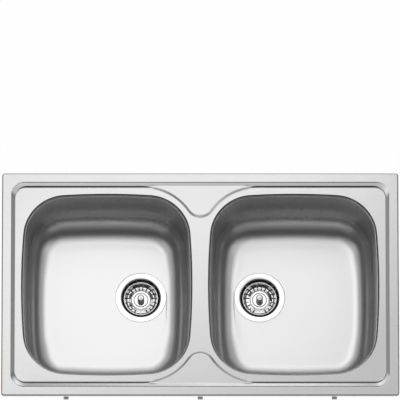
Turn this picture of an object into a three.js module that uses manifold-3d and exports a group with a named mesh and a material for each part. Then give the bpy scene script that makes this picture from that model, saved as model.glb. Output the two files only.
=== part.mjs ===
// Inset double bowl kitchen sink in pressed stainless steel, with two basket strainer wastes and
// eight screw clips that clamp it into a worktop.
//
// Units are millimetres and +Z is up. The origin is the middle of the worktop cut-out, on the
// worktop's top face. The border and the deck stand above z = 0. The bowls, the wastes and the
// clips hang below it. -Y is the side the user stands at, and +X is on the user's right.

import * as THREE from "three";
import { mergeVertices } from "three/addons/utils/BufferGeometryUtils.js";
import Module from "manifold-3d";

const wasm = await Module();
wasm.setup();

// ---------------------------------------------------------------- sheet and fits
const SHEET = 0.8; // steel of the deck and the bowls
const GAP = 0.3; // clearance left between two pieces that touch
const OVERCUT = 1; // how far a cutting solid runs past what it cuts
const MELD = 0.04; // how far one pressed form runs into the next

// ---------------------------------------------------------------- deck, from its edge inwards
const BORDER_WIDTH = 20;
const BORDER_HEIGHT = 7; // top of the border above the worktop
const EDGE_RADIUS = 3; // rounding where the border turns down
const PLATE_CORNER = 6.5; // corner radius seen from above
const SLOPE_SIDE = 6.5; // width of the slope inside the border, left and right
const SLOPE_FRONT = 8.4; // the same slope along the front and the back
const SLOPE_DROP = 2;
const SLOPE_CORNER = 28;
const STEP_SIDE = 2.5; // width of the step from the slope down to the land
const STEP_FRONT = 5.6;
const STEP_DROP = 1.5;
const STEP_CORNER = 25;
const LAND_SIDE = 13.4; // flat land between the step and a bowl
const LAND_FRONT = 12;
const BRIDGE = 34; // land between the two bowls
const LEDGE_DEPTH = 66.3; // how far the raised ledges reach from the step towards the middle
const LEDGE_CLEARANCE = 25.5; // how much wider the curve into a ledge is than a bowl's corner
const LEDGE_LEAD = 9.2; // how much nearer the bridge the corner's middle is than the curve's

// ---------------------------------------------------------------- bowls
const BOWL_HALF_WIDTH = 185.3;
const BOWL_HALF_LENGTH = 204;
const BOWL_SIDE_BOW = 1480; // radius of the slightly bowed sides
const BOWL_CORNER = 93.5;
const BOWL_DEPTH = 180; // from the land to the floor at the waste
const RIM_RADIUS = 3; // where the land turns down into a bowl
const COLLAR_DEPTH = 11; // how far the deck's collar reaches down
const LAP_DEPTH = 7; // from the land down to the bowl's welded edge
const WALL_DRAFT = THREE.MathUtils.degToRad(3.2);
const FLOOR_RADIUS = 40; // between wall and floor
const FLOOR_FALL = 1; // slope of the floor towards the waste

// ---------------------------------------------------------------- waste, measured from its axis
const WASTE_TO_SIDE = 112.3; // from a waste's axis to the rim of its bowl at the bridge
const WASTE_TO_BACK = 20;
const FLANGE_RADIUS = 55;
const FLANGE_SHEET = 1;
const SEAL_INNER_RADIUS = 46;
const FLANGE_SEAL_HEIGHT = 1.8;
const UNDER_SEAL_HEIGHT = 2.5;
const HOLE_RADIUS = 44.5; // hole in the bowl's floor
const RECESS_LEVEL = 1.5; // level floor round the recess
const CUP_RADIUS = 42; // mouth of the strainer cup
const CUP_TAPER = 3.4; // how much narrower the cup is above its bottom curve
const CUP_WALL_DEPTH = 24;
const CUP_DEPTH = 32;
const CUP_WINDOWS = 6;
const SCREW_RADIUS = 6.2; // shank of the hollow clamping screw
const SCREW_HEAD_RADIUS = 8.5;
const SCREW_HEAD_HEIGHT = 7;
const SCREW_LENGTH = 38; // below the cup
const STEM_RADIUS = 3.2;
const BODY_WALL = 2.6; // moulded plastic
const BODY_DEPTH = 44; // depth of the body's chamber below the bowl's floor
const BODY_RIBS = 6;
const BOSS_RADIUS = 11;
const SPIGOT_RADIUS = 23.9; // outside of the outlet pipe
const SPIGOT_BORE = 19.5;
const SPIGOT_END = 92; // below the bowl's floor
const SOCKET_DEPTH = 8; // how far the outlet pipe goes into the body
const NUT_RADIUS = 29;
const NUT_HEIGHT = 20;
const NUT_GRIPS = 8;
const WASHER_HEIGHT = 2.8;
const INSERT_HEIGHT = 10;

// ---------------------------------------------------------------- strainer basket
const BASKET_RIM_RADIUS = 37.4;
const BASKET_RIM_DROP = 7.6; // from the flange down to the basket's rim
const BASKET_FLOOR_RADIUS = 32;
const BASKET_HEIGHT = 13;
const BASKET_SHEET = 0.8;
const BASKET_SLOTS = 20;
const SLOT_WIDTH = 3.4;
const DISC_RADIUS = 20; // raised middle that carries the knob
const DISC_RISE = 2;
const KNOB_RADIUS = 7.5;
const KNOB_HEIGHT = 20;
const STEM_REACH = 20; // of the stem below the basket
const CLIP_RING_HEIGHT = 2.2;

// ---------------------------------------------------------------- worktop clips
const CLIP_SCREW_RADIUS = 2.5;
const CLIP_SCREW_TOP = -9;
const CLIP_ARM_LENGTH = 34; // from the screw to the tips of the teeth
const CLIP_ARM_WIDTH = 11;
const CLIP_ARM_SHEET = 2;
const CLIP_TOOTH_HEIGHT = 6;
const CLIP_GRIP = -38.5; // height of the tips at rest, under a 38 mm worktop
const CLIP_HEEL = 7;
const CLIP_HEAD_HEIGHT = 5;
const BRACKET_SHEET = 1.5;
const BRACKET_SPAN = 40; // foot to foot, along the border
const BRACKET_BRIDGE = 22; // length of its lowered middle
const BRACKET_DROP = 22;
const BRACKET_WIDTH = 11;
const BRACKET_SET_IN = 6; // from the bowl's rim line out to the screw, left and right
const BRACKET_SET_IN_FRONT = 7.5;
const CLIP_SPACING = 290; // between clips along the front and the back

// ---------------------------------------------------------------- sealing strip and pads
const STRIP_WIDTH = 7.5;
const PAD_THICKNESS = 3;
const PAD_HALF = [60, 110];
const PAD_CORNER = 12;
const PAD_OUTWARD = 65; // from a bowl's middle to its pad, away from the bridge

// ---------------------------------------------------------------- faceting
const CORNER_STEPS = 6;
const SIDE_STEPS = 2;
const CUP_STEPS = 24;
const HIDDEN_STEPS = 16; // round pieces under the bowl

// ---------------------------------------------------------------- worked out from the above
const SLOPE_FOOT = BORDER_HEIGHT - SLOPE_DROP;
const LAND = SLOPE_FOOT - STEP_DROP; // height of the land round the bowls
const BOWL_X = BRIDGE / 2 + BOWL_HALF_WIDTH;
const LAND_HALF = [BOWL_X + BOWL_HALF_WIDTH + LAND_SIDE, BOWL_HALF_LENGTH + LAND_FRONT];
const STEP_HALF = [LAND_HALF[0] + STEP_SIDE, LAND_HALF[1] + STEP_FRONT];
const SLOPE_HALF = [STEP_HALF[0] + SLOPE_SIDE, STEP_HALF[1] + SLOPE_FRONT];
const PLATE_HALF = [SLOPE_HALF[0] + BORDER_WIDTH, SLOPE_HALF[1] + BORDER_WIDTH];
const FLOOR = LAND - BOWL_DEPTH; // top of the floor where it meets the waste
const RECESS_DEPTH = FLANGE_SHEET + FLANGE_SEAL_HEIGHT + 2 * GAP;
const RECESS_RADIUS = FLANGE_RADIUS + 2 * GAP;
const UNDER_RECESS = -RECESS_DEPTH - SHEET; // underside of the recess, from the floor
const BODY_TOP = UNDER_RECESS - UNDER_SEAL_HEIGHT - 2 * GAP;
const BASKET_FLOOR = -BASKET_RIM_DROP - BASKET_HEIGHT;
const DISC_TOP = BASKET_FLOOR + DISC_RISE;

// ================================================================ solids

// A closed solid from three.js geometry, for cutting and joining.
function solidOf(geometry) {
  const bare = new THREE.BufferGeometry();
  const flat = geometry.index ? geometry.toNonIndexed() : geometry;
  bare.setAttribute("position", flat.getAttribute("position"));
  const merged = mergeVertices(bare, 1e-4);
  const index = merged.index.array;
  const kept = [];
  for (let i = 0; i < index.length; i += 3) {
    const [a, b, c] = [index[i], index[i + 1], index[i + 2]];
    if (a !== b && b !== c && c !== a) kept.push(a, b, c);
  }
  const build = (triangles) =>
    new wasm.Manifold(
      new wasm.Mesh({
        numProp: 3,
        vertProperties: merged.attributes.position.array,
        triVerts: new Uint32Array(triangles),
      }),
    );
  const solid = build(kept);
  return solid.volume() >= 0 ? solid : build(kept.slice().reverse());
}

function geometryOf(solid) {
  const mesh = solid.getMesh();
  const geometry = new THREE.BufferGeometry();
  geometry.setAttribute("position", new THREE.BufferAttribute(mesh.vertProperties, mesh.numProp));
  geometry.setIndex(new THREE.BufferAttribute(mesh.triVerts, 1));
  return geometry;
}

const joined = (solids) => solids.reduce((whole, next) => whole.add(next));

// A surface over rings of points that match one to one. A ring is a list of [x, y, z].
// closed: the last ring meets the first, as on a shell. Otherwise both end rings are capped.
function loftedSolid(rings, closed) {
  const count = rings[0].length;
  const triangles = [];
  const spans = closed ? rings.length : rings.length - 1;
  for (let r = 0; r < spans; r++) {
    const lower = r * count;
    const upper = ((r + 1) % rings.length) * count;
    for (let i = 0; i < count; i++) {
      const j = (i + 1) % count;
      triangles.push(lower + i, lower + j, upper + j, lower + i, upper + j, upper + i);
    }
  }
  if (!closed) {
    const outline = rings[0].map(([x, y]) => new THREE.Vector2(x, y));
    const top = (rings.length - 1) * count;
    for (const [a, b, c] of THREE.ShapeUtils.triangulateShape(outline, [])) {
      triangles.push(a, c, b, top + a, top + b, top + c);
    }
  }
  const geometry = new THREE.BufferGeometry();
  geometry.setAttribute("position", new THREE.Float32BufferAttribute(rings.flat(2), 3));
  geometry.setIndex(triangles);
  return solidOf(geometry);
}

// A revolved solid round the Z axis. The profile is a closed list of [radius, z].
function turnedSolid(profile, steps = HIDDEN_STEPS) {
  const points = profile.map(([r, z]) => new THREE.Vector2(r, z));
  points.push(points[0].clone());
  return solidOf(new THREE.LatheGeometry(points, steps).rotateX(Math.PI / 2));
}

// A straight round bar from one height to another.
function bar(radius, low, high, steps = 16, x = 0, y = 0) {
  const height = high - low;
  const round = new THREE.CylinderGeometry(radius, radius, height, steps).rotateX(Math.PI / 2);
  return solidOf(round.translate(x, y, low + height / 2));
}

function block(low, high) {
  const size = high.map((h, i) => h - low[i]);
  const centre = high.map((h, i) => (h + low[i]) / 2);
  return solidOf(new THREE.BoxGeometry(...size).translate(...centre));
}

// A flat outline of [across, up] points pushed along Y, centred on Y = 0.
function pressedStrip(outline, width) {
  const shape = new THREE.Shape(outline.map(([u, z]) => new THREE.Vector2(u, z)));
  const strip = new THREE.ExtrudeGeometry(shape, { depth: width, bevelEnabled: false });
  return solidOf(strip.translate(0, 0, -width / 2).rotateX(Math.PI / 2));
}

// count copies of a cutter or a rib, spread round the Z axis.
function aroundAxis(solid, count, first = 0) {
  const copies = [];
  for (let i = 0; i < count; i++) {
    copies.push(solid.rotate([0, 0, ((first + i) * 360) / count]));
  }
  return joined(copies);
}

// ================================================================ outlines

// Points on an arc, from one angle to the next, without the last point.
function arcPoints(cx, cy, radius, from, to, steps) {
  const points = [];
  for (let i = 0; i < steps; i++) {
    const angle = from + ((to - from) * i) / steps;
    points.push([cx + radius * Math.cos(angle), cy + radius * Math.sin(angle)]);
  }
  return points;
}

const atHeight = (points, z) => points.map(([x, y]) => [x, y, z]);
const shifted = (points, dx, dy) => points.map(([x, y]) => [x + dx, y + dy]);

// A rectangle with round corners, counter-clockwise, from half sizes and a corner radius.
function roundedRectangle([halfX, halfY], radius, steps = 5) {
  const quarter = Math.PI / 2;
  const corners = [
    [halfX - radius, halfY - radius],
    [radius - halfX, halfY - radius],
    [radius - halfX, radius - halfY],
    [halfX - radius, radius - halfY],
  ];
  return corners.flatMap(([cx, cy], i) => [
    ...arcPoints(cx, cy, radius, i * quarter, (i + 1) * quarter, steps),
    [cx + radius * Math.cos((i + 1) * quarter), cy + radius * Math.sin((i + 1) * quarter)],
  ]);
}

const inset = ([halfX, halfY], by) => [halfX - by, halfY - by];

// The centre of a bowl's corner arc, which touches the bowed side and the bowed end. It lies as
// far from the centre of the side's arc as from the centre of the end's arc.
const BOWL_CORNER_CENTRE = (() => {
  const side = new THREE.Vector2(BOWL_HALF_WIDTH - BOWL_SIDE_BOW, 0);
  const end = new THREE.Vector2(0, BOWL_HALF_LENGTH - BOWL_SIDE_BOW);
  const reach = BOWL_SIDE_BOW - BOWL_CORNER;
  const apart = end.clone().sub(side);
  const rise = Math.sqrt(reach ** 2 - apart.lengthSq() / 4);
  const outward = new THREE.Vector2(-apart.y, apart.x).normalize();
  return side.clone().add(end).multiplyScalar(0.5).addScaledVector(outward, rise);
})();

// The outline of a bowl, moved in by an amount all round, centred on the bowl. Its four sides are
// long arcs and its corners are arcs that touch them.
function bowlOutline(by) {
  const { x: px, y: py } = BOWL_CORNER_CENTRE;
  const sideX = BOWL_HALF_WIDTH - BOWL_SIDE_BOW;
  const endY = BOWL_HALF_LENGTH - BOWL_SIDE_BOW;
  const low = Math.atan2(py, px - sideX);
  const high = Math.atan2(py - endY, px);
  const bow = BOWL_SIDE_BOW - by;
  const corner = BOWL_CORNER - by;
  const half = Math.PI;
  return [
    ...arcPoints(sideX, 0, bow, -low, low, SIDE_STEPS),
    ...arcPoints(px, py, corner, low, high, CORNER_STEPS),
    ...arcPoints(0, endY, bow, high, half - high, SIDE_STEPS),
    ...arcPoints(-px, py, corner, half - high, half - low, CORNER_STEPS),
    ...arcPoints(-sideX, 0, bow, half - low, half + low, SIDE_STEPS),
    ...arcPoints(-px, -py, corner, half + low, half + high, CORNER_STEPS),
    ...arcPoints(0, -endY, bow, half + high, 2 * half - high, SIDE_STEPS),
    ...arcPoints(px, -py, corner, 2 * half - high, 2 * half - low, CORNER_STEPS),
  ];
}

// The edge of the lowered land, moved out by a share (-0.5 to 0.5) of the step's width. Front and
// back each have a ledge that dips towards the middle: a wide arc round each bowl's corner leads
// down to it, and a smaller arc that touches both joins them.
function landOutline(share) {
  const out = share * STEP_FRONT;
  const halfX = LAND_HALF[0] + (share + 0.5) * STEP_SIDE;
  const stepLine = LAND_HALF[1] + STEP_FRONT / 2;
  const lead = BOWL_CORNER + LEDGE_CLEARANCE;
  const shoulderX = BOWL_X - BOWL_CORNER_CENTRE.x + LEDGE_LEAD;
  const shoulderY = stepLine - lead;
  const dip = lead - LEDGE_DEPTH;
  const valley = (shoulderX ** 2 + dip ** 2 - lead ** 2) / (2 * (lead - dip));
  const valleyY = stepLine - LEDGE_DEPTH + valley;
  const lean = Math.atan2(valleyY - shoulderY, shoulderX); // of the line between the two centres
  const quarter = Math.PI / 2;
  const radius = STEP_CORNER + out;
  const cornerX = halfX - radius;
  const cornerY = stepLine + out - radius;
  const shoulder = lead + out;
  const half = [
    ...arcPoints(cornerX, cornerY, radius, 0, quarter, 5),
    [cornerX, stepLine + out],
    ...arcPoints(shoulderX, shoulderY, shoulder, quarter, Math.PI - lean, 6),
    ...arcPoints(0, valleyY, valley - out, -lean, lean - Math.PI, 6),
    ...arcPoints(-shoulderX, shoulderY, shoulder, lean, quarter, 6),
    [-shoulderX, stepLine + out],
    ...arcPoints(-cornerX, cornerY, radius, quarter, 2 * quarter, 5),
    [-halfX, cornerY],
  ];
  return [...half, ...half.map(([x, y]) => [-x, -y])];
}

// ================================================================ deck

// The space under the sheet's surface, down to below the collars. sheet = 0 gives the surface that
// is seen, and sheet = SHEET gives the underside.
function deckMass(sheet) {
  const top = BORDER_HEIGHT - sheet;
  const bottom = LAND - COLLAR_DEPTH - (sheet > 0 ? OVERCUT : 0);
  const curveHeight = BORDER_HEIGHT - EDGE_RADIUS;
  const edge = [atHeight(roundedRectangle(inset(PLATE_HALF, sheet), PLATE_CORNER - sheet), bottom)];
  for (const turn of [0, 45, 90].map(THREE.MathUtils.degToRad)) {
    const by = EDGE_RADIUS - (EDGE_RADIUS - sheet) * Math.cos(turn);
    const z = curveHeight + (EDGE_RADIUS - sheet) * Math.sin(turn);
    edge.push(atHeight(roundedRectangle(inset(PLATE_HALF, by), PLATE_CORNER - by), z));
  }
  const slope = loftedSolid([
    atHeight(roundedRectangle(STEP_HALF, STEP_CORNER), top - SLOPE_DROP),
    atHeight(roundedRectangle(SLOPE_HALF, SLOPE_CORNER), top),
    atHeight(roundedRectangle(SLOPE_HALF, SLOPE_CORNER), top + OVERCUT),
  ]);
  const stepFoot = top - SLOPE_DROP - STEP_DROP;
  const step = loftedSolid([
    atHeight(landOutline(-0.5), stepFoot),
    atHeight(landOutline(0.5 + MELD), stepFoot + STEP_DROP * (1 + MELD)),
  ]);
  let mass = loftedSolid(edge).subtract(slope).subtract(step);
  for (const side of [-1, 1]) mass = mass.subtract(bowlMouth(side, sheet, bottom));
  return mass;
}

// The space inside a bowl's collar: the land rounds down into it.
function bowlMouth(side, sheet, bottom) {
  const radius = RIM_RADIUS - sheet;
  const curveHeight = LAND - RIM_RADIUS;
  const ring = (by, z) => atHeight(shifted(bowlOutline(by), side * BOWL_X, 0), z);
  const rings = [ring(radius, bottom - OVERCUT)];
  for (const turn of [90, 45, 0].map(THREE.MathUtils.degToRad)) {
    rings.push(ring(radius * Math.sin(turn), curveHeight + radius * Math.cos(turn)));
  }
  rings.push(ring(0, LAND + STEP_DROP));
  return loftedSolid(rings);
}

// The pressed top: a border that turns down, the slope and step inside it, a raised ledge at the
// front and the back, and a collar for each bowl.
function deckPanel() {
  const lip = EDGE_RADIUS + OVERCUT;
  const low = LAND - COLLAR_DEPTH - 2 * OVERCUT;
  const around = loftedSolid([
    atHeight(roundedRectangle(inset(PLATE_HALF, -OVERCUT), PLATE_CORNER), low),
    atHeight(roundedRectangle(inset(PLATE_HALF, -OVERCUT), PLATE_CORNER), GAP),
  ]);
  const within = loftedSolid([
    atHeight(roundedRectangle(inset(PLATE_HALF, lip), PLATE_CORNER), low - OVERCUT),
    atHeight(roundedRectangle(inset(PLATE_HALF, lip), PLATE_CORNER), OVERCUT),
  ]);
  return deckMass(0).subtract(deckMass(SHEET)).subtract(around.subtract(within));
}

// The foam strip under the border, which the border sits down on.
function rimSeal() {
  const ring = (by, z) => atHeight(roundedRectangle(inset(PLATE_HALF, by), PLATE_CORNER), z);
  const outer = SHEET + GAP;
  const top = BORDER_HEIGHT - SHEET - GAP;
  const chamfer = 0.7 * EDGE_RADIUS;
  const rings = [
    ring(outer, 0),
    ring(outer, top - chamfer),
    ring(outer + chamfer, top),
    ring(outer + STRIP_WIDTH, top),
    ring(outer + STRIP_WIDTH, 0),
  ];
  return loftedSolid(rings, true);
}

// ================================================================ bowls

// The wall line and the floor curve of a bowl, as [inset, z] pairs from the rim to the floor.
// out = 0 gives the inside face, and out = SHEET gives the outside face.
function bowlProfile(out) {
  const rimInset = RIM_RADIUS + GAP + SHEET;
  const rimHeight = LAND - LAP_DEPTH;
  const centreHeight = FLOOR + FLOOR_FALL + FLOOR_RADIUS;
  const touchHeight = centreHeight - FLOOR_RADIUS * Math.sin(WALL_DRAFT);
  const touchInset = rimInset + (rimHeight - touchHeight) * Math.tan(WALL_DRAFT);
  const centreInset = touchInset + FLOOR_RADIUS * Math.cos(WALL_DRAFT);
  const profile = [[rimInset - out, rimHeight]];
  const curve = 4;
  for (let i = 0; i <= curve; i++) {
    const turn = WALL_DRAFT + ((Math.PI / 2 - WALL_DRAFT) * i) / curve;
    const radius = FLOOR_RADIUS + out;
    profile.push([centreInset - radius * Math.cos(turn), centreHeight - radius * Math.sin(turn)]);
  }
  return profile;
}

const wasteAt = (side) => [side * (BRIDGE / 2 + WASTE_TO_SIDE), WASTE_TO_BACK];

// A ring round a waste, whose points lie the way that those of the bowl's outline do.
function wasteRing(side, radius, z) {
  const [wx, wy] = wasteAt(side);
  return bowlOutline(FLOOR_RADIUS).map(([x, y]) => {
    const angle = Math.atan2(y, x);
    return [wx + radius * Math.cos(angle), wy + radius * Math.sin(angle), z];
  });
}

const bowlRing = (side, [by, z]) => atHeight(shifted(bowlOutline(by), side * BOWL_X, 0), z);

// The space inside one face of a bowl: the wall, the curve, the floor that slopes to the waste, and
// the recess that the waste's flange sits in.
function bowlForm(side, out) {
  const [x, y] = wasteAt(side);
  const mouth = out > 0 ? 0 : OVERCUT;
  const [[rimInset, rimHeight], ...rest] = bowlProfile(out);
  const well = loftedSolid([
    bowlRing(side, [rimInset, rimHeight + mouth]),
    ...rest.map((point) => bowlRing(side, point)),
    wasteRing(side, RECESS_RADIUS + RECESS_LEVEL, FLOOR - out),
  ]);
  const recess = bar(RECESS_RADIUS + out, FLOOR - RECESS_DEPTH - out, FLOOR + 1, CUP_STEPS, x, y);
  return well.add(recess);
}

// A deep-drawn bowl in one even sheet, with the hole for its waste.
function bowl(side) {
  const [x, y] = wasteAt(side);
  const under = FLOOR + UNDER_RECESS - OVERCUT;
  const hole = bar(HOLE_RADIUS, under, FLOOR, CUP_STEPS, x, y);
  return bowlForm(side, SHEET).subtract(bowlForm(side, 0)).subtract(hole);
}

// The sound-deadening pad glued under a bowl's floor, cut to the slope of the floor.
function soundPad(side) {
  const x = side * (BOWL_X + PAD_OUTWARD);
  const outline = shifted(roundedRectangle(PAD_HALF, PAD_CORNER, 2), x, 0);
  const pad = loftedSolid([
    atHeight(outline, FLOOR - SHEET - GAP - PAD_THICKNESS),
    atHeight(outline, FLOOR + FLOOR_FALL),
  ]);
  return pad.subtract(bowlForm(side, SHEET + GAP));
}

// ================================================================ waste, at its own axis, z = 0 on the bowl's floor

const CUP_BOTTOM_RADIUS = CUP_RADIUS - CUP_TAPER - 6;
const CUP_ROLL = 3; // how far the mouth of the cup rolls out into the flange

// Inside radius of the strainer cup's tapered wall at a height.
const cupWallRadius = (z) =>
  CUP_RADIUS + (CUP_TAPER * (z + CUP_ROLL)) / (CUP_WALL_DEPTH - CUP_ROLL);

// The pressed cup that hangs in the hole by its flange, with windows in its bottom.
function strainerCup() {
  const s = FLANGE_SHEET;
  const neck = CUP_RADIUS - CUP_TAPER;
  const hole = SCREW_RADIUS + GAP;
  const inside = [
    [FLANGE_RADIUS - 1, 0],
    [CUP_RADIUS + CUP_ROLL, -0.4],
    [CUP_RADIUS + 0.8, -0.4 * CUP_ROLL],
    [CUP_RADIUS, -CUP_ROLL],
    [neck, -CUP_WALL_DEPTH],
    [CUP_BOTTOM_RADIUS, -CUP_DEPTH],
    [hole, -CUP_DEPTH],
  ];
  const outside = [
    [hole, -CUP_DEPTH - s],
    [CUP_BOTTOM_RADIUS + 0.6, -CUP_DEPTH - s],
    [neck + s, -CUP_WALL_DEPTH],
    [CUP_RADIUS + s, -CUP_ROLL - 0.5],
    [CUP_RADIUS + CUP_ROLL, -s - 0.4],
    [FLANGE_RADIUS, -s],
  ];
  const cup = turnedSolid([...inside, ...outside], CUP_STEPS);
  const inner = SCREW_HEAD_RADIUS + 3;
  const outer = CUP_BOTTOM_RADIUS - 2;
  const half = (Math.PI / CUP_WINDOWS) * 0.72;
  const sector = [
    ...arcPoints(0, 0, outer, -half, half, 3),
    [outer * Math.cos(half), outer * Math.sin(half)],
    [inner * Math.cos(half), inner * Math.sin(half)],
    [inner, 0],
    [inner * Math.cos(half), -inner * Math.sin(half)],
  ];
  const window = loftedSolid([
    atHeight(sector, -CUP_DEPTH - s - OVERCUT),
    atHeight(sector, -CUP_DEPTH + OVERCUT),
  ]);
  return cup.subtract(aroundAxis(window, CUP_WINDOWS));
}

const SCREW_BORE = STEM_RADIUS + GAP;
const SCREW_HEAD_TOP = -CUP_DEPTH + GAP + SCREW_HEAD_HEIGHT;
const SCREW_FOOT = -CUP_DEPTH - SCREW_LENGTH;
const STEM_FOOT = BASKET_FLOOR - STEM_REACH;

// The hollow screw that pulls the cup and the body together. The basket's stem runs in its bore.
function clampScrew() {
  const boreEnd = STEM_FOOT - 2;
  const profile = [
    [0, boreEnd],
    [SCREW_BORE, boreEnd],
    [SCREW_BORE, SCREW_HEAD_TOP],
    [SCREW_HEAD_RADIUS - 1, SCREW_HEAD_TOP],
    [SCREW_HEAD_RADIUS, SCREW_HEAD_TOP - 1],
    [SCREW_HEAD_RADIUS, SCREW_HEAD_TOP - SCREW_HEAD_HEIGHT],
    [SCREW_RADIUS, SCREW_HEAD_TOP - SCREW_HEAD_HEIGHT],
    [SCREW_RADIUS, SCREW_FOOT],
    [0, SCREW_FOOT],
  ];
  return turnedSolid(profile, 10);
}

// A flat washer round the waste, as a ring with square edges.
function flatRing(inner, outer, low, high, steps = HIDDEN_STEPS) {
  return turnedSolid([[inner, low], [outer, low], [outer, high], [inner, high]], steps);
}

const flangeSeal = () =>
  flatRing(
    SEAL_INNER_RADIUS,
    FLANGE_RADIUS - 1,
    GAP - RECESS_DEPTH,
    GAP - RECESS_DEPTH + FLANGE_SEAL_HEIGHT - 0.2,
  );

const underSeal = () =>
  flatRing(
    SEAL_INNER_RADIUS,
    FLANGE_RADIUS - 1,
    UNDER_RECESS - GAP - UNDER_SEAL_HEIGHT,
    UNDER_RECESS - GAP,
  );

const BOSS_TOP = -CUP_DEPTH - FLANGE_SHEET - GAP;
const BOSS_FOOT = SCREW_FOOT + 3;
const INSERT_RADIUS = BOSS_RADIUS - 2;

const FUNNEL_FOOT = -BODY_DEPTH - 12;
const SHOULDER = FUNNEL_FOOT - 2; // the outlet pipe stops against it
const SOCKET_RADIUS = SPIGOT_RADIUS + GAP;

// The moulded body under the bowl: a chamber round the cup, a funnel, and the socket that the
// outlet pipe is bonded into. Inside, three webs carry the boss that the clamping screw goes into.
function wasteBody() {
  const rim = FLANGE_RADIUS + 1;
  const chamber = CUP_RADIUS + FLANGE_SHEET + 1.5;
  const w = BODY_WALL;
  const low = -BODY_DEPTH;
  const shell = turnedSolid([
    [chamber, BODY_TOP],
    [chamber - 2.5, low],
    [SPIGOT_BORE, FUNNEL_FOOT],
    [SPIGOT_BORE, SHOULDER],
    [SOCKET_RADIUS, SHOULDER],
    [SOCKET_RADIUS, SHOULDER - SOCKET_DEPTH],
    [SOCKET_RADIUS + w, SHOULDER - SOCKET_DEPTH],
    [SOCKET_RADIUS + w, SHOULDER],
    [chamber - 2.5 + w, low - 2],
    [chamber + w, BODY_TOP - 4 - w],
    [rim, BODY_TOP - 4],
    [rim, BODY_TOP],
  ]);
  const boss = turnedSolid(
    [
      [SCREW_RADIUS + GAP, BOSS_TOP],
      [BOSS_RADIUS, BOSS_TOP],
      [BOSS_RADIUS, BOSS_FOOT],
      [INSERT_RADIUS + GAP, BOSS_FOOT],
      [INSERT_RADIUS + GAP, BOSS_FOOT + INSERT_HEIGHT + GAP],
      [SCREW_RADIUS + GAP, BOSS_FOOT + INSERT_HEIGHT + GAP],
    ],
    10,
  );
  const webReach = chamber - 1.5;
  const web = pressedStrip(
    [
      [BOSS_RADIUS - 1, BOSS_TOP - 3],
      [webReach, BOSS_TOP - 3],
      [webReach, low],
      [SPIGOT_BORE + 1, FUNNEL_FOOT],
      [SPIGOT_BORE + 1, SHOULDER + 0.5],
      [SPIGOT_BORE - 2, SHOULDER + 0.5],
      [BOSS_RADIUS - 1, SHOULDER - SOCKET_DEPTH],
    ],
    w,
  );
  const rib = pressedStrip(
    [
      [chamber + w - 1.5, BODY_TOP - 4],
      [rim - 1, BODY_TOP - 4],
      [chamber + w + 1, low],
      [SOCKET_RADIUS + w + 1, SHOULDER - 3],
      [SOCKET_RADIUS + 1, SHOULDER - 3],
      [SOCKET_RADIUS + 1, SHOULDER],
      [chamber - 2.5 + w - 1.5, low - 2],
    ],
    w,
  );
  return joined([shell, boss, aroundAxis(web, 3), aroundAxis(rib, BODY_RIBS)]);
}

// The outlet pipe, bonded into the body's socket. The coupling nut runs on its lower end.
const outletPipe = () => flatRing(SPIGOT_BORE, SPIGOT_RADIUS, -SPIGOT_END, SHOULDER - GAP);

// The threaded brass insert at the foot of the boss.
const threadInsert = () =>
  flatRing(SCREW_RADIUS + GAP, INSERT_RADIUS, BOSS_FOOT, BOSS_FOOT + INSERT_HEIGHT, 10);

// The tapered washer against the end of the spigot, which seals the drain pipe.
function outletWasher() {
  const top = -SPIGOT_END - GAP;
  return turnedSolid(
    [
      [SPIGOT_BORE + 0.5, top],
      [SPIGOT_BORE + 1.5, top - WASHER_HEIGHT],
      [SPIGOT_RADIUS - 0.8, top - WASHER_HEIGHT],
      [SPIGOT_RADIUS, top],
    ],
  );
}

const NUT_FOOT = -SPIGOT_END - WASHER_HEIGHT - 2 * GAP - 2.5;

// The coupling nut on the spigot, with finger grips. Its lip holds the washer up.
function couplingNut() {
  const bore = SPIGOT_RADIUS + GAP;
  const top = NUT_FOOT + NUT_HEIGHT;
  const skirt = NUT_RADIUS - 1.8;
  const nut = turnedSolid([
    [bore, NUT_FOOT + 2.5],
    [SPIGOT_BORE + 1.5, NUT_FOOT + 2.5],
    [SPIGOT_BORE + 1.5, NUT_FOOT],
    [skirt, NUT_FOOT],
    [skirt, top],
    [bore, top],
  ]);
  const grip = block([skirt - 1, -1.6, NUT_FOOT + 2], [NUT_RADIUS, 1.6, top - 1]);
  return nut.add(aroundAxis(grip, NUT_GRIPS, 0.5));
}

// ================================================================ strainer basket, on the same axis

// Outside radius of the basket's wall at a height.
const basketWallRadius = (z) => {
  const flare = BASKET_RIM_RADIUS - BASKET_SHEET - BASKET_FLOOR_RADIUS;
  return BASKET_FLOOR_RADIUS + BASKET_SHEET + (flare * (z - BASKET_FLOOR)) / BASKET_HEIGHT;
};

// The pressed basket. Its floor and the foot of its wall are slotted, and its middle is a disc
// with a ring groove.
function basket() {
  const s = BASKET_SHEET;
  const rimTop = -BASKET_RIM_DROP;
  const hole = STEM_RADIUS + GAP;
  const inside = [
    [BASKET_RIM_RADIUS, rimTop - 0.4],
    [BASKET_RIM_RADIUS - s, rimTop],
    [BASKET_FLOOR_RADIUS, BASKET_FLOOR],
    [DISC_RADIUS + 1.2, BASKET_FLOOR],
    [DISC_RADIUS, DISC_TOP],
    [hole, DISC_TOP],
  ];
  const outside = [
    [hole, DISC_TOP - s],
    [DISC_RADIUS - 0.4, DISC_TOP - s],
    [DISC_RADIUS + s, BASKET_FLOOR - s],
    [basketWallRadius(BASKET_FLOOR - s), BASKET_FLOOR - s],
    [basketWallRadius(rimTop - 1.2), rimTop - 1.2],
  ];
  const shell = turnedSolid([...inside, ...outside], BASKET_SLOTS);
  const slot = block(
    [DISC_RADIUS + 2, -SLOT_WIDTH / 2, BASKET_FLOOR - s - OVERCUT],
    [BASKET_RIM_RADIUS, SLOT_WIDTH / 2, BASKET_FLOOR + BASKET_HEIGHT * 0.45],
  );
  return shell.subtract(aroundAxis(slot, BASKET_SLOTS, 0.5));
}

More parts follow.
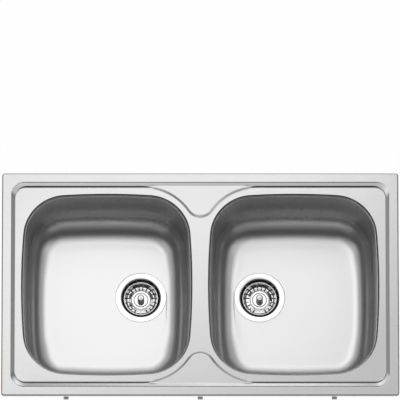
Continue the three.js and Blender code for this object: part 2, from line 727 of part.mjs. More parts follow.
// The rubber lip round the basket, which closes on the cup's wall with the basket down.
function basketSeal() {
  const top = -BASKET_RIM_DROP - 2;
  const foot = top - 4;
  const lip = cupWallRadius(foot) * Math.cos(Math.PI / CUP_STEPS) - GAP;
  return turnedSolid([
    [basketWallRadius(top) + GAP, top],
    [basketWallRadius(foot) + GAP, foot],
    [lip, foot],
    [lip - 0.6, top - 0.8],
  ], BASKET_SLOTS);
}

const CLIP_GROOVE = STEM_FOOT + 3; // lower edge of the groove that holds the spring ring

// The stem: a collar that clamps the basket, and a foot with a groove for the spring ring.
function stem() {
  const under = DISC_TOP - BASKET_SHEET - GAP;
  const groove = STEM_RADIUS - 0.9;
  const profile = [
    [0, STEM_FOOT],
    [STEM_RADIUS - 1, STEM_FOOT],
    [STEM_RADIUS, STEM_FOOT + 1.5],
    [STEM_RADIUS, CLIP_GROOVE],
    [groove, CLIP_GROOVE],
    [groove, CLIP_GROOVE + CLIP_RING_HEIGHT + GAP],
    [STEM_RADIUS, CLIP_GROOVE + CLIP_RING_HEIGHT + GAP],
    [STEM_RADIUS, under - 2.5],
    [STEM_RADIUS + 3, under - 2.5],
    [STEM_RADIUS + 3, under - 0.2],
    [STEM_RADIUS, under - 0.2],
    [STEM_RADIUS, DISC_TOP + KNOB_HEIGHT / 2],
    [0, DISC_TOP + KNOB_HEIGHT / 2],
  ];
  return turnedSolid(profile, 10);
}

// The split spring ring in the stem's groove, which grips the bore of the clamping screw.
function springRing() {
  const low = CLIP_GROOVE + GAP / 2;
  const ring = flatRing(STEM_RADIUS - 0.9 + 0.2, STEM_RADIUS + 0.1, low, low + CLIP_RING_HEIGHT, 10);
  return ring.subtract(block([0, -0.8, low - OVERCUT], [2 * STEM_RADIUS, 0.8, low + 4]));
}

// The turned knob that the basket is lifted and turned by.
function knob() {
  const low = DISC_TOP + GAP;
  const high = DISC_TOP + KNOB_HEIGHT;
  const bore = STEM_RADIUS + GAP;
  const boreTop = DISC_TOP + KNOB_HEIGHT / 2 + GAP;
  const r = KNOB_RADIUS;
  return turnedSolid(
    [
      [bore, low],
      [r, low],
      [r - 0.9, low + 4],
      [r - 0.9, high - 7],
      [r, high - 4.5],
      [r, high - 1.4],
      [r - 1.6, high],
      [0, high],
      [0, boreTop],
      [bore, boreTop],
    ],
    16,
  );
}

// ================================================================ clips, at their own screw, +X outwards

// The hat-shaped bracket welded under the deck. Its lowered middle takes the clip's screw.
function clipBracket(deckUnderside) {
  const top = deckUnderside - GAP;
  const s = BRACKET_SHEET;
  const foot = BRACKET_SPAN / 2;
  const web = BRACKET_BRIDGE / 2;
  const low = LAND - SHEET - GAP - BRACKET_DROP;
  const hat = pressedStrip(
    [
      [-foot, top],
      [-foot, top - s],
      [-web - s, top - s],
      [-web - s, low],
      [web + s, low],
      [web + s, top - s],
      [foot, top - s],
      [foot, top],
      [web, top],
      [web, low + s],
      [-web, low + s],
      [-web, top],
    ],
    BRACKET_WIDTH,
  ).rotate([0, 0, 90]);
  return hat.subtract(bar(CLIP_SCREW_RADIUS + GAP, low - OVERCUT, low + s + OVERCUT, 8));
}

const CLIP_ARM_TOP = CLIP_GRIP - CLIP_TOOTH_HEIGHT;

// The clamp arm: a strip with a turned-up heel and a turned-up toe cut into two teeth.
function clipArm() {
  const s = CLIP_ARM_SHEET;
  const toe = CLIP_ARM_LENGTH;
  const low = CLIP_ARM_TOP - s;
  const strip = pressedStrip(
    [
      [-CLIP_HEEL, low + 1],
      [-CLIP_HEEL + 1, low],
      [toe - 1, low],
      [toe, low + 1],
      [toe, CLIP_GRIP],
      [toe - s, CLIP_GRIP - 1],
      [toe - s, CLIP_ARM_TOP],
      [-CLIP_HEEL + s, CLIP_ARM_TOP],
      [-CLIP_HEEL + s, CLIP_ARM_TOP + 2.5],
      [-CLIP_HEEL, CLIP_ARM_TOP + 2.5],
    ],
    CLIP_ARM_WIDTH,
  );
  const notchHalf = CLIP_ARM_WIDTH / 4;
  const notch = pressedStrip(
    [
      [-notchHalf, CLIP_GRIP + OVERCUT],
      [0, CLIP_GRIP - 3],
      [notchHalf, CLIP_GRIP + OVERCUT],
    ],
    3 * s,
  );
  const hole = bar(CLIP_SCREW_RADIUS + GAP, low - OVERCUT, CLIP_ARM_TOP + OVERCUT, 8);
  return strip.subtract(notch.rotate([0, 0, 90]).translate([toe - s / 2, 0, 0])).subtract(hole);
}

// The hexagon screw, which carries the arm on its head.
function clipScrew() {
  const headTop = CLIP_ARM_TOP - CLIP_ARM_SHEET - GAP;
  const shank = bar(CLIP_SCREW_RADIUS, headTop - 1, CLIP_SCREW_TOP, 8);
  return shank.add(bar(4.6, headTop - CLIP_HEAD_HEIGHT, headTop, 6));
}

// Where the clips go: [x, y, turn about Z in degrees, underside of the deck there].
function clipPlaces() {
  const landUnderside = LAND - SHEET;
  const ledgeUnderside = SLOPE_FOOT - SHEET;
  const x = BOWL_X + BOWL_HALF_WIDTH + BRACKET_SET_IN;
  const y = BOWL_HALF_LENGTH + BRACKET_SET_IN_FRONT;
  return [
    [-CLIP_SPACING, y, 90, landUnderside],
    [0, y, 90, ledgeUnderside],
    [CLIP_SPACING, y, 90, landUnderside],
    [x, 0, 0, landUnderside],
    [CLIP_SPACING, -y, -90, landUnderside],
    [0, -y, -90, ledgeUnderside],
    [-CLIP_SPACING, -y, -90, landUnderside],
    [-x, 0, 180, landUnderside],
  ];
}

// ================================================================ materials and assembly

const finish = (color, roughness, metalness) =>
  new THREE.MeshStandardMaterial({ color, roughness, metalness });

const brushedSteel = finish(0xc9cacb, 0.32, 1);
const polishedSteel = finish(0xdfe0e1, 0.1, 1);
const zincSteel = finish(0xb4b6b4, 0.42, 1);
const brass = finish(0xc2a060, 0.35, 1);
const blackRubber = finish(0x1c1c1d, 0.75, 0);
const greyFoam = finish(0x4a4b4d, 0.95, 0);
const whitePlastic = finish(0xe6e6e3, 0.45, 0);
const damping = finish(0x55575a, 0.9, 0);

const sink = new THREE.Group();

function place(name, solid, material, position = [0, 0, 0], turn = 0) {
  const mesh = new THREE.Mesh(geometryOf(solid), material);
  mesh.name = name;
  mesh.position.set(...position);
  mesh.rotation.z = THREE.MathUtils.degToRad(turn);
  sink.add(mesh);
}

place("deck_panel", deckPanel(), brushedSteel);
place("rim_seal", rimSeal(), greyFoam);

for (const [name, side] of [["left", -1], ["right", 1]]) {
  const axis = [...wasteAt(side), FLOOR];
  place(`${name}_bowl`, bowl(side), brushedSteel);
  place(`${name}_sound_pad`, soundPad(side), damping);
  place(`${name}_strainer_cup`, strainerCup(), polishedSteel, axis);
  place(`${name}_flange_seal`, flangeSeal(), blackRubber, axis);
  place(`${name}_under_seal`, underSeal(), blackRubber, axis);
  place(`${name}_waste_body`, wasteBody(), whitePlastic, axis);
  place(`${name}_outlet_pipe`, outletPipe(), whitePlastic, axis);
  place(`${name}_thread_insert`, threadInsert(), brass, axis);
  place(`${name}_clamp_screw`, clampScrew(), polishedSteel, axis);
  place(`${name}_coupling_nut`, couplingNut(), whitePlastic, axis);
  place(`${name}_outlet_washer`, outletWasher(), blackRubber, axis);
  place(`${name}_basket`, basket(), polishedSteel, axis);
  place(`${name}_basket_seal`, basketSeal(), blackRubber, axis);
  place(`${name}_basket_stem`, stem(), polishedSteel, axis);
  place(`${name}_basket_knob`, knob(), polishedSteel, axis);
  place(`${name}_stem_spring_ring`, springRing(), zincSteel, axis);
}

clipPlaces().forEach(([x, y, turn, underside], i) => {
  place(`clip_${i + 1}_bracket`, clipBracket(underside), zincSteel, [x, y, 0], turn);
  place(`clip_${i + 1}_screw`, clipScrew(), zincSteel, [x, y, 0], turn);
  place(`clip_${i + 1}_arm`, clipArm(), zincSteel, [x, y, 0], turn);
});

export default sink;
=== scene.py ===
"""Inset double bowl kitchen sink: looks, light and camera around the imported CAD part.

Lengths are millimetres in the sink's own frame until they go into a mesh, where MM turns them
into metres. The origin is the middle of the worktop cut-out, on the worktop's top face. +X is to
the user's right, +Y to the back and +Z up.
"""

import math

import bmesh
import bpy
import numpy as np
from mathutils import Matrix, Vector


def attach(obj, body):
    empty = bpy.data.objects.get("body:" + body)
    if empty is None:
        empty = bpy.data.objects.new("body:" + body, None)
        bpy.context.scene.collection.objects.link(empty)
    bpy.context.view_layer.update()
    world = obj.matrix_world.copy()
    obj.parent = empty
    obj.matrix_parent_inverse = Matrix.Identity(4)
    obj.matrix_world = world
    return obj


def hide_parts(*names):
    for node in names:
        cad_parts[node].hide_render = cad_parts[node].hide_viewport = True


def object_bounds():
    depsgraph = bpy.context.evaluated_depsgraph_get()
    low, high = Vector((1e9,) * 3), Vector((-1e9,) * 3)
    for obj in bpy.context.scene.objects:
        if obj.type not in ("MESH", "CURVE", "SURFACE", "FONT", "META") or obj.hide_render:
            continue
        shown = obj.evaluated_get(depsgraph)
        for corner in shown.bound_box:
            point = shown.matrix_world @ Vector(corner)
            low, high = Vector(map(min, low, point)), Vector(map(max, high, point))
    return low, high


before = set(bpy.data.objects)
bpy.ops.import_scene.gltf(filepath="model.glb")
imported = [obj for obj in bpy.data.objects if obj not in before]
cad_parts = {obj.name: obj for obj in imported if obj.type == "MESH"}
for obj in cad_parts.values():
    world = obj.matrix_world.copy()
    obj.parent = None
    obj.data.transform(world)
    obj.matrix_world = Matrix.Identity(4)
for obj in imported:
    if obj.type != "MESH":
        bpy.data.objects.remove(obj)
cad_box = [list(corner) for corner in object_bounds()]

MM = 0.001
TAU = 2 * math.pi
SIDES = (("left", -1), ("right", 1))

# ------------ sizes of the sheet work
SHEET = 0.8
BORDER_HEIGHT = 7.0
EDGE_RADIUS = 3.0
EDGE_FOOT = 0.3
PLATE_HALF = np.array((430.0, 250.0))
PLATE_CORNER = 6.5
SLOPE_HALF = np.array((410.0, 230.0))
SLOPE_CORNER = 28.0
SLOPE_FOOT = 5.0
SIDE_SINK = 0.53
STEP_HALF = np.array((403.5, 221.6))
STEP_CORNER = 25.0
STEP_SIDE = 2.5
STEP_FRONT = 5.6
LAND_HALF = np.array((401.0, 216.0))
LAND = 3.5
LEDGE_DEPTH = 66.3
LEDGE_LEAD_RADIUS = 119.0
LEDGE_LEAD_X = 123.9
TUCK_AT = np.array((104.0, 220.4))
TUCK_SIZE = np.array((5.0, 1.5))
TUCK_DEPTH = 0.55

BOWL_X = 202.3
BOWL_HALF = np.array((185.3, 204.0))
BOWL_BOW = 1480.0
BOWL_CORNER = 93.5
RIM_RADIUS = 3.0
MOUTH_LIP = 0.4
COLLAR_INSET = 3.3
COLLAR_DEPTH = 11.0
LAP_DEPTH = 7.0
WALL_DRAFT = math.radians(3.2)
FLOOR = -176.5
FLOOR_RADIUS = 45.0
BACK_RADIUS = 54.0
FRONT_RADIUS = 62.0
FLOOR_FALL = 1.0
FALL_REACH = 60.0

WASTE = np.array((129.3, 20.0))
RECESS_RADIUS = 55.2
RECESS_EDGE = 0.35
RECESS_DEPTH = 3.4
RECESS_LEVEL = 1.5
HOLE_RADIUS = 44.5
BOWL_COLUMNS = 320
FLOOR_ROWS = 14
RECESS_ROWS = 9

# ------------ sizes of the waste, from its axis
GAP = 0.3
FLANGE_RADIUS = 55.0
SEAL_INNER = 46.0
SEAL_OUTER = 54.0
CUP_MOUTH = 42.0
CUP_NECK = 38.6
CUP_WALL_DEPTH = 24.0
CUP_DEPTH = 32.0
CUP_FOOT = 32.6
CUP_SHEET = 1.0
CUP_HOLE = 6.5
WINDOW_INNER = 11.5
WINDOW_OUTER = 30.0
WINDOW_SHARE = 0.72
BASKET_RIM = 37.4
BASKET_RIM_TOP = -7.6
BASKET_FLOOR = -20.6
BASKET_FLOOR_RADIUS = 30.5
BASKET_WALL_TOP = 35.0
BASKET_SHEET = 0.8
SLOTS = 20
SLOT_HALF = 1.4
DISC_RADIUS = 20.0
DISC_TOP = -18.6
STEM_RADIUS = 3.2
STEM_FOOT = -40.6
KNOB_RADIUS = 7.5
KNOB_HEIGHT = 20.0
KNOB_TOP = FLOOR + DISC_TOP + KNOB_HEIGHT
SCREW_HEAD_TOP = -24.7
SCREW_FOOT = -70.0
SCREW_SHANK = 6.2
INSERT_BORE = 6.5
BODY_TOP = -7.3
BODY_DEPTH = 44.0
BODY_WALL = 2.6
BOSS_FOOT = -67.0
FUNNEL_FOOT = -56.0
SHOULDER = -58.0
PIPE_RADIUS = 23.9
PIPE_BORE = 19.5
PIPE_END = -92.0
NUT_FOOT = -97.9
NUT_HEIGHT = 20.0
NUT_RADIUS = 29.0

# ------------ sizes of the worktop clips
CLIP_SPACING = 290.0
CLIP_GRIP = -38.5
CLIP_ARM_TOP = -44.5
CLIP_ARM_SHEET = 2.0
CLIP_WIDTH = 11.0
CLIP_SCREW_RADIUS = 2.5
CLIP_SCREW_TOP = -9.0
BRACKET_SHEET = 1.5
BRACKET_LOW = -19.6

# ------------ sizes of the sound pads
PAD_HALF = np.array((60.0, 110.0))
PAD_CORNER = 12.0
PAD_X = BOWL_X + 65
PAD_THICKNESS = 3.0


# ============ meshes

def grid_quads(rows, columns, around=True):
    """Quads over a grid of points kept row by row. around: the last column meets the first."""
    row, column = np.indices((rows - 1, columns if around else columns - 1))
    following = (column + 1) % columns
    corners = (row * columns + column, row * columns + following,
               (row + 1) * columns + following, (row + 1) * columns + column)
    return np.stack(corners, axis=-1).reshape(-1, 4)


def gridded(points):
    """A list of points and their quads, from rows of points that each go all the way round."""
    return points.reshape(-1, 3), grid_quads(*points.shape[:2])


def mesh_of(name, points, quads, merge=0.002, outwards=False):
    """A mesh from points in millimetres and quads. Points nearer than merge become one, which
    closes seams and poles. outwards: the faces of a closed shape are turned to point out."""
    mesh = bpy.data.meshes.new(name)
    mesh.vertices.add(len(points))
    mesh.vertices.foreach_set("co", (np.asarray(points) * MM).astype(np.float32).ravel())
    mesh.loops.add(quads.size)
    mesh.loops.foreach_set("vertex_index", quads.astype(np.int32).ravel())
    mesh.polygons.add(len(quads))
    mesh.polygons.foreach_set("loop_start", np.arange(0, quads.size, 4, dtype=np.int32))
    mesh.update(calc_edges=True)
    work = bmesh.new()
    work.from_mesh(mesh)
    bmesh.ops.remove_doubles(work, verts=work.verts, dist=merge * MM)
    bmesh.ops.dissolve_degenerate(work, edges=work.edges, dist=merge * MM * 0.5)
    bare = [edge for edge in work.edges if not edge.link_faces]
    bmesh.ops.delete(work, geom=bare, context="EDGES")
    if outwards:
        bmesh.ops.recalc_face_normals(work, faces=work.faces)
    work.to_mesh(mesh)
    work.free()
    mesh.validate()
    return mesh


def sharpen_rims(mesh):
    """Marks the open edges of a surface as sharp, so that the rim of its sheet has crisp edges."""
    edge_of = np.empty(len(mesh.loops), np.int32)
    mesh.loops.foreach_get("edge_index", edge_of)
    sharp = np.empty(len(mesh.edges), bool)
    mesh.edges.foreach_get("use_edge_sharp", sharp)
    sharp |= np.bincount(edge_of, minlength=len(sharp)) == 1
    mesh.edges.foreach_set("use_edge_sharp", sharp)


def add_object(name, data):
    obj = bpy.data.objects.new(name, data)
    bpy.context.scene.collection.objects.link(obj)
    return obj


def turn_up(mesh):
    """Turns an open surface over as a whole if most of it faces down."""
    normals = np.empty(len(mesh.polygons) * 3, np.float32)
    areas = np.empty(len(mesh.polygons), np.float32)
    mesh.polygons.foreach_get("normal", normals)
    mesh.polygons.foreach_get("area", areas)
    if (normals[2::3] * areas).sum() < 0:
        mesh.flip_normals()


def piece(name, replaced, shape, finish, body="sink", sharp=35.0, wall=0.0, bevel=0.0, merge=0.002):
    """Puts one piece of the sink into the scene, in place of a node of the solids.

    shape: the points and quads of a closed solid or, where wall gives the thickness of a sheet,
    of the sheet's upper face. finish: a material and its slot. sharp: edges that turn by more
    degrees than this stay sharp. bevel: width of a small bevel on the sharp edges."""
    mesh = mesh_of(name, *shape, merge, outwards=not wall)
    if wall:
        turn_up(mesh)
    obj = add_object(name, mesh)
    mesh.polygons.foreach_set("use_smooth", np.ones(len(mesh.polygons), bool))
    mesh.set_sharp_from_angle(angle=math.radians(sharp))
    sharpen_rims(mesh)
    material, slot = finish
    mesh.materials.append(material)
    if wall:
        solid = obj.modifiers.new("sheet", "SOLIDIFY")
        solid.thickness = wall * MM
        solid.offset = -1
    if bevel:
        round_off = obj.modifiers.new("edges", "BEVEL")
        round_off.width = bevel * MM
        round_off.segments = 2
        round_off.limit_method = "ANGLE"
        round_off.angle_limit = math.radians(40)
    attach(obj, body)
    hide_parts(replaced)


def rounded(path, radius, closed=True, steps=4):
    """Softens the corners of a path of (across, up) points. Each corner gives way to a parabola
    that leaves its two edges at the same distance, at most the radius and 0.45 of an edge. Points
    on the axis and the ends of an open path stay."""
    path = np.asarray(path, float)
    before, after = np.roll(path, 1, axis=0) - path, np.roll(path, -1, axis=0) - path
    reach = np.minimum(np.hypot(*before.T), np.hypot(*after.T)) * 0.45
    reach = np.where(path[:, 0] < 1e-6, 0, np.minimum(reach, radius))
    if not closed:
        reach[[0, -1]] = 0
    start = path + before * (reach / np.maximum(np.hypot(*before.T), 1e-9))[:, None]
    end = path + after * (reach / np.maximum(np.hypot(*after.T), 1e-9))[:, None]
    t = np.linspace(0, 1, steps)[:, None, None]
    curve = (1 - t) ** 2 * start + 2 * t * (1 - t) * path + t ** 2 * end
    return curve.transpose(1, 0, 2).reshape(-1, 2)


def walk(path):
    """Distance along a path to each of its points."""
    return np.concatenate(([0], np.cumsum(np.hypot(*np.diff(path, axis=0).T))))


def along(path, distance):
    """Points at given distances along a path."""
    return np.stack([np.interp(distance, walk(path), path[:, k]) for k in (0, 1)], axis=-1)


def guarded(path, near=0.15, span=1.2):
    """Adds a point close to each end of every long span of a path, so that the shading of a long
    flat stays flat right up to the rounds at its ends."""
    walked = walk(path)
    long = np.hypot(*np.diff(path, axis=0).T) > span
    extra = np.concatenate((walked[:-1][long] + near, walked[1:][long] - near))
    return along(path, np.sort(np.concatenate((walked, extra))))


def circle(radius, angle):
    """Points (x, y) at a radius from the middle, in the direction of an angle."""
    return np.stack((radius * np.cos(angle), radius * np.sin(angle)), axis=-1)


def around_axis(radius, height, centre, angle):
    """Points at a radius and a height for each row, carried round a vertical axis."""
    return np.stack(np.broadcast_arrays(
        centre[0] + radius * np.cos(angle), centre[1] + radius * np.sin(angle),
        centre[2] + height), axis=-1)


def turned(profile, centre, steps=96, wave=None):
    """Points and quads of a turned solid: the closed profile's (radius, z) pairs carried round a
    vertical axis. wave gives an amount to add to the radius, from the radii, heights and angles."""
    profile = np.asarray(profile, float)
    profile = guarded(np.concatenate((profile, profile[:1])))
    angle = np.arange(steps) * TAU / steps
    radius, height = profile[:, :1], profile[:, 1:]
    if wave:
        radius = radius + wave(radius, height, angle)
    return gridded(around_axis(radius, height, centre, angle))


def thread(low, high, pitch, depth, about):
    """A screw thread as a wave on a turned solid: the depth comes and goes with the height and
    with the angle, one pitch a turn, on the rows near a radius."""
    def wave(radius, height, angle):
        phase = (height / pitch + angle / TAU) % 1
        ridge = np.clip(1.5 - np.abs(phase * 4 - 2) * 1.5 + 0.25, 0, 1)
        fade = np.clip((height - low) / pitch, 0, 1) * np.clip((high - height) / pitch, 0, 1)
        near = np.abs(radius - about) < 0.02
        return np.where(near, -depth * (1 - ridge) * fade, 0)
    return wave


def together(*parts):
    """Joins several lots of points and quads into one."""
    points, quads, count = [], [], 0
    for some_points, some_quads in parts:
        points.append(some_points)
        quads.append(some_quads + count)
        count += len(some_points)
    return np.concatenate(points), np.concatenate(quads)


def rows_with_hole(lead, hole, tail):
    """Joins three lots of rows, and says which spans between rows lie over the middle lot."""
    inside = np.zeros(len(lead) + len(hole) + len(tail) - 1, bool)
    inside[len(lead):len(lead) + len(hole) - 1] = True
    return np.concatenate((lead, hole, tail)), inside


def pierced_ring(path, rows, holes, spread, inside, centre, across=1, ribs=4):
    """A turned sheet with holes in it, evenly spaced round the axis.

    rows: distances along the path. spread: half the angle of a hole at each row, which is nothing
    at a round end. inside: which spans between rows lie in the holes. Each hole has across spans
    over it and ribs spans to the next one, and the spans of the holes are left out."""
    points = along(path, rows)
    pitch = TAU / holes
    hole = np.linspace(-1, 1, across + 1)[None, :] * spread[:, None]
    rib = np.linspace(0, 1, ribs + 1)[None, 1:-1]
    rib = spread[:, None] + (pitch - 2 * spread[:, None]) * rib
    sector = np.concatenate((hole, rib), axis=1)
    start = (np.arange(holes) + 0.5) * pitch
    angle = (start[None, :, None] + sector[:, None, :]).reshape(len(rows), -1)
    columns = angle.shape[1]
    quads = grid_quads(len(rows), columns).reshape(len(rows) - 1, columns, 4)
    kept = np.ones(quads.shape[:2], bool)
    kept[np.ix_(inside, np.arange(columns) % (across + ribs) < across)] = False
    placed = around_axis(points[:, :1], points[:, 1:], centre, angle)
    return placed.reshape(-1, 3), quads[kept]


# ============ outlines

def smooth_step(t):
    """Rises from 0 to 1 with level ends, as 3 t squared minus 2 t cubed."""
    return t * t * (3 - 2 * t)


def quarter_ring(half, corner, stations, steps=14):
    """A quarter of a rectangle with round corners, from the +X axis to the +Y axis: the side, an
    arc of the corner radius, and the long edge with a point at each of the x stations."""
    side = np.linspace(0, half[1] - corner, 26)[:-1]
    turn = np.linspace(0, math.pi / 2, steps)
    arc = np.asarray(half) - corner + circle(corner, turn)
    lead = np.linspace(half[0] - corner, stations[0], 34)[1:-1]
    edge = np.concatenate((lead, stations))
    return np.concatenate((np.column_stack((np.full_like(side, half[0]), side)), arc,
                           np.column_stack((edge, np.full_like(edge, half[1])))))


def whole_ring(quarter):
    """Mirrors a quarter ring about both axes into one closed loop, with no point twice."""
    flip_x, flip_y = np.array((-1, 1)), np.array((1, -1))
    return np.concatenate((quarter, (quarter[::-1] * flip_x)[1:], (-quarter)[1:],
                           (quarter[::-1] * flip_y)[1:-1]))


def ledge_curve(out, steps=26):
    """The edge of a raised ledge in the first quarter, moved out by an amount: an arc round the
    bowl's corner, then the arc of the valley that touches it and crosses the Y axis."""
    step_line = LAND_HALF[1] + STEP_FRONT / 2
    lead_y = step_line - LEDGE_LEAD_RADIUS
    dip = LEDGE_LEAD_RADIUS - LEDGE_DEPTH
    valley = ((LEDGE_LEAD_X ** 2 + dip ** 2 - LEDGE_LEAD_RADIUS ** 2)
              / (2 * (LEDGE_LEAD_RADIUS - dip)))
    valley_y = step_line - LEDGE_DEPTH + valley
    lean = math.atan2(valley_y - lead_y, LEDGE_LEAD_X)
    first = np.linspace(math.pi / 2, math.pi - lean, steps)
    second = np.linspace(-lean, -math.pi / 2, steps // 2)[1:]
    return np.concatenate(((LEDGE_LEAD_X, lead_y) + circle(LEDGE_LEAD_RADIUS + out, first),
                           (0, valley_y) + circle(valley - out, second)))


def step_ring(share):
    """The edge of the lowered land, moved out by a share (-0.5 to 0.5) of the step's width."""
    out = share * STEP_FRONT
    half = (LAND_HALF[0] + (share + 0.5) * STEP_SIDE, LAND_HALF[1] + STEP_FRONT / 2 + out)
    curve = ledge_curve(out)
    quarter = quarter_ring(half, STEP_CORNER + out, curve[:, 0])
    quarter[-len(curve):] = curve
    quarter[-1, 0] = 0
    return whole_ring(quarter)


def matching_ring(half, corner):
    """A plain ring whose points lie opposite those of the step's upper edge."""
    stations = ledge_curve(0.5 * STEP_FRONT)[:, 0]
    stations[-1] = 0
    return whole_ring(quarter_ring(half, corner, stations))


SIDE_ARC = np.array((BOWL_HALF[0] - BOWL_BOW, 0))
END_ARC = np.array((0, BOWL_HALF[1] - BOWL_BOW))


def bowl_corner_centre():
    """The middle of a bowl's corner arc, as far from the middle of the side's arc as from the
    middle of the end's arc."""
    apart = END_ARC - SIDE_ARC
    rise = math.sqrt((BOWL_BOW - BOWL_CORNER) ** 2 - apart @ apart / 4)
    outward = np.array((-apart[1], apart[0])) / math.hypot(*apart)
    return (SIDE_ARC + END_ARC) / 2 + outward * rise


CORNER = bowl_corner_centre()


def ray_to_arc(x, y, centre, radius):
    """Distance from the middle, in the direction (x, y), to the far side of a circle. A
    direction that misses the circle gives the point abreast of its centre."""
    lead = x * centre[0] + y * centre[1]
    reach = lead ** 2 - centre[0] ** 2 - centre[1] ** 2 + radius ** 2
    return lead + np.sqrt(np.maximum(reach, 0))


def bowl_ring(angle, inset):
    """A bowl's outline about its middle, moved in by an inset, at each angle. The outline is four
    long arcs joined by corner arcs, so in each direction it is the crossing with one of them."""
    angle, inset = np.broadcast_arrays(angle, inset)
    x, y = np.abs(np.cos(angle)), np.abs(np.sin(angle))
    bow = BOWL_BOW - inset
    low = math.atan2(CORNER[1], CORNER[0] - SIDE_ARC[0])
    high = math.atan2(CORNER[1] - END_ARC[1], CORNER[0])
    corner_start = np.arctan2(bow * math.sin(low), SIDE_ARC[0] + bow * math.cos(low))
    corner_end = np.arctan2(END_ARC[1] + bow * math.sin(high), bow * math.cos(high))
    folded = np.arctan2(y, x)
    radius = np.where(
        folded < corner_start, ray_to_arc(x, y, SIDE_ARC, bow),
        np.where(folded < corner_end, ray_to_arc(x, y, CORNER, BOWL_CORNER - inset),
                 ray_to_arc(x, y, END_ARC, bow)))
    return circle(radius, angle)


# ============ materials

def feed(tree, target, inputs):
    """Gives the sockets of a shader node their values, or links from other nodes' outputs."""
    for socket, value in inputs.items():
        if isinstance(value, bpy.types.NodeSocket):
            tree.links.new(value, target.inputs[socket])
        else:
            target.inputs[socket].default_value = value


def node(tree, kind, inputs=(), output=0, **settings):
    """Adds a shader node with its settings and inputs, and returns one of its outputs."""
    made = tree.nodes.new("ShaderNode" + kind)
    for setting, value in settings.items():
        setattr(made, setting, value)
    feed(tree, made, dict(inputs))
    return made.outputs[output]


def noise(tree, scale, stretch=(1, 1, 1), detail=3.0):
    """Noise over the piece's own coordinates, in cells a metre, stretched along an axis."""
    place = node(tree, "TexCoord", output="Object")
    place = node(tree, "Mapping", {"Vector": place, "Scale": stretch})
    return node(tree, "TexNoise", {"Vector": place, "Scale": scale, "Detail": detail,
                                   "Roughness": 0.55})


def mapped(tree, source, low, high, start=0.3, end=0.7):
    """Maps a value's range from start to end onto low to high."""
    return node(tree, "MapRange", {"Value": source, "From Min": start, "From Max": end,
                                   "To Min": low, "To Max": high})


def blend(tree, kind, share, first, second):
    """Mixes two values by a share: colours for the kind RGBA and numbers for FLOAT."""
    a, b, result = (6, 7, 2) if kind == "RGBA" else (2, 3, 0)
    return node(tree, "Mix", {0: share, a: first, b: second}, result, data_type=kind)


def bump(tree, height, depth):
    """Relief of a given depth in millimetres."""
    return node(tree, "Bump", {"Strength": 1.0, "Distance": depth * MM, "Height": height})


def new_material(name):
    material = bpy.data.materials.new(name)
    material.use_nodes = True
    return material, material.node_tree


def satin_steel(name, slot, light, rough, grain, stretch=(1, 1, 1), cast=(1, 1, 1), relief=0.003,
                foot=None):
    """Satin metal: fine grain drawn out along one direction, in tone, gloss and relief, with
    broad soft differences under it. foot: the lightness, roughness and metallic share low
    down, and the two heights between which they give way to the main ones. A foot lightness
    above the main one is painted light, and one below it painted shade."""
    material, tree = new_material(name)
    cast = np.array(cast)
    color = light * cast
    lines = noise(tree, grain, stretch, 4.0)
    cloud = node(tree, "Math", {0: lines, 1: 0.25, 2: noise(tree, 9.0, detail=2.0)},
                 operation="MULTIPLY_ADD")
    tone = blend(tree, "RGBA", mapped(tree, cloud, 0, 1),
                 (*(color * 0.985), 1), (*(color * 1.015), 1))
    gloss = mapped(tree, lines, rough - 0.02, rough + 0.02)
    metal = 1.0
    if foot:
        place = node(tree, "TexCoord", output="Object")
        height = node(tree, "SeparateXYZ", {"Vector": place}, "Z")
        above = mapped(tree, height, 0, 1, *foot[3:])
        metal = mapped(tree, height, foot[2], 1, *foot[3:])
        # painted light and shade: low down the tone gives way to the foot's lightness, set by
        # height
        tone = blend(tree, "RGBA", above, (*(foot[0] * cast), 1), tone)
        gloss = blend(tree, "FLOAT", above, foot[1], gloss)
    feed(tree, tree.nodes["Principled BSDF"], {
        "Base Color": tone, "Metallic": metal, "Roughness": gloss,
        "Normal": bump(tree, lines, relief)})
    return material, slot


def moulded(name, slot, color, rough, grain, depth):
    """Moulded plastic or rubber: an even tone with a fine texture in gloss and relief."""
    material, tree = new_material(name)
    color = np.ones(3) * color
    texture = noise(tree, grain)
    tone = blend(tree, "RGBA", mapped(tree, noise(tree, 14.0), 0, 1),
                 (*(color * 0.95), 1), (*np.minimum(color * 1.03, 1), 1))
    feed(tree, tree.nodes["Principled BSDF"], {
        "Base Color": tone, "Metallic": 0.0,
        "Roughness": mapped(tree, texture, rough - 0.06, rough + 0.06),
        "Normal": bump(tree, texture, depth)})
    return material, slot


# each finish is a material and the name of its slot in the record
DECK = satin_steel("satin steel, deck", "brushed_steel", 0.62, 0.20, 300.0, (0.08, 1.0, 1.0),
                   relief=0.0015)
# painted light and shade: the bowls' floor is painted lighter (0.90) than their walls (0.61); the
# floor's rougher, slightly less metallic finish is real
BOWL = satin_steel("satin steel, bowls", "brushed_steel", 0.61, 0.26, 320.0, (1.0, 1.0, 0.12),
                   relief=0.002, foot=(0.90, 0.32, 0.97, (FLOOR + 5) * MM, (FLOOR + 45) * MM))
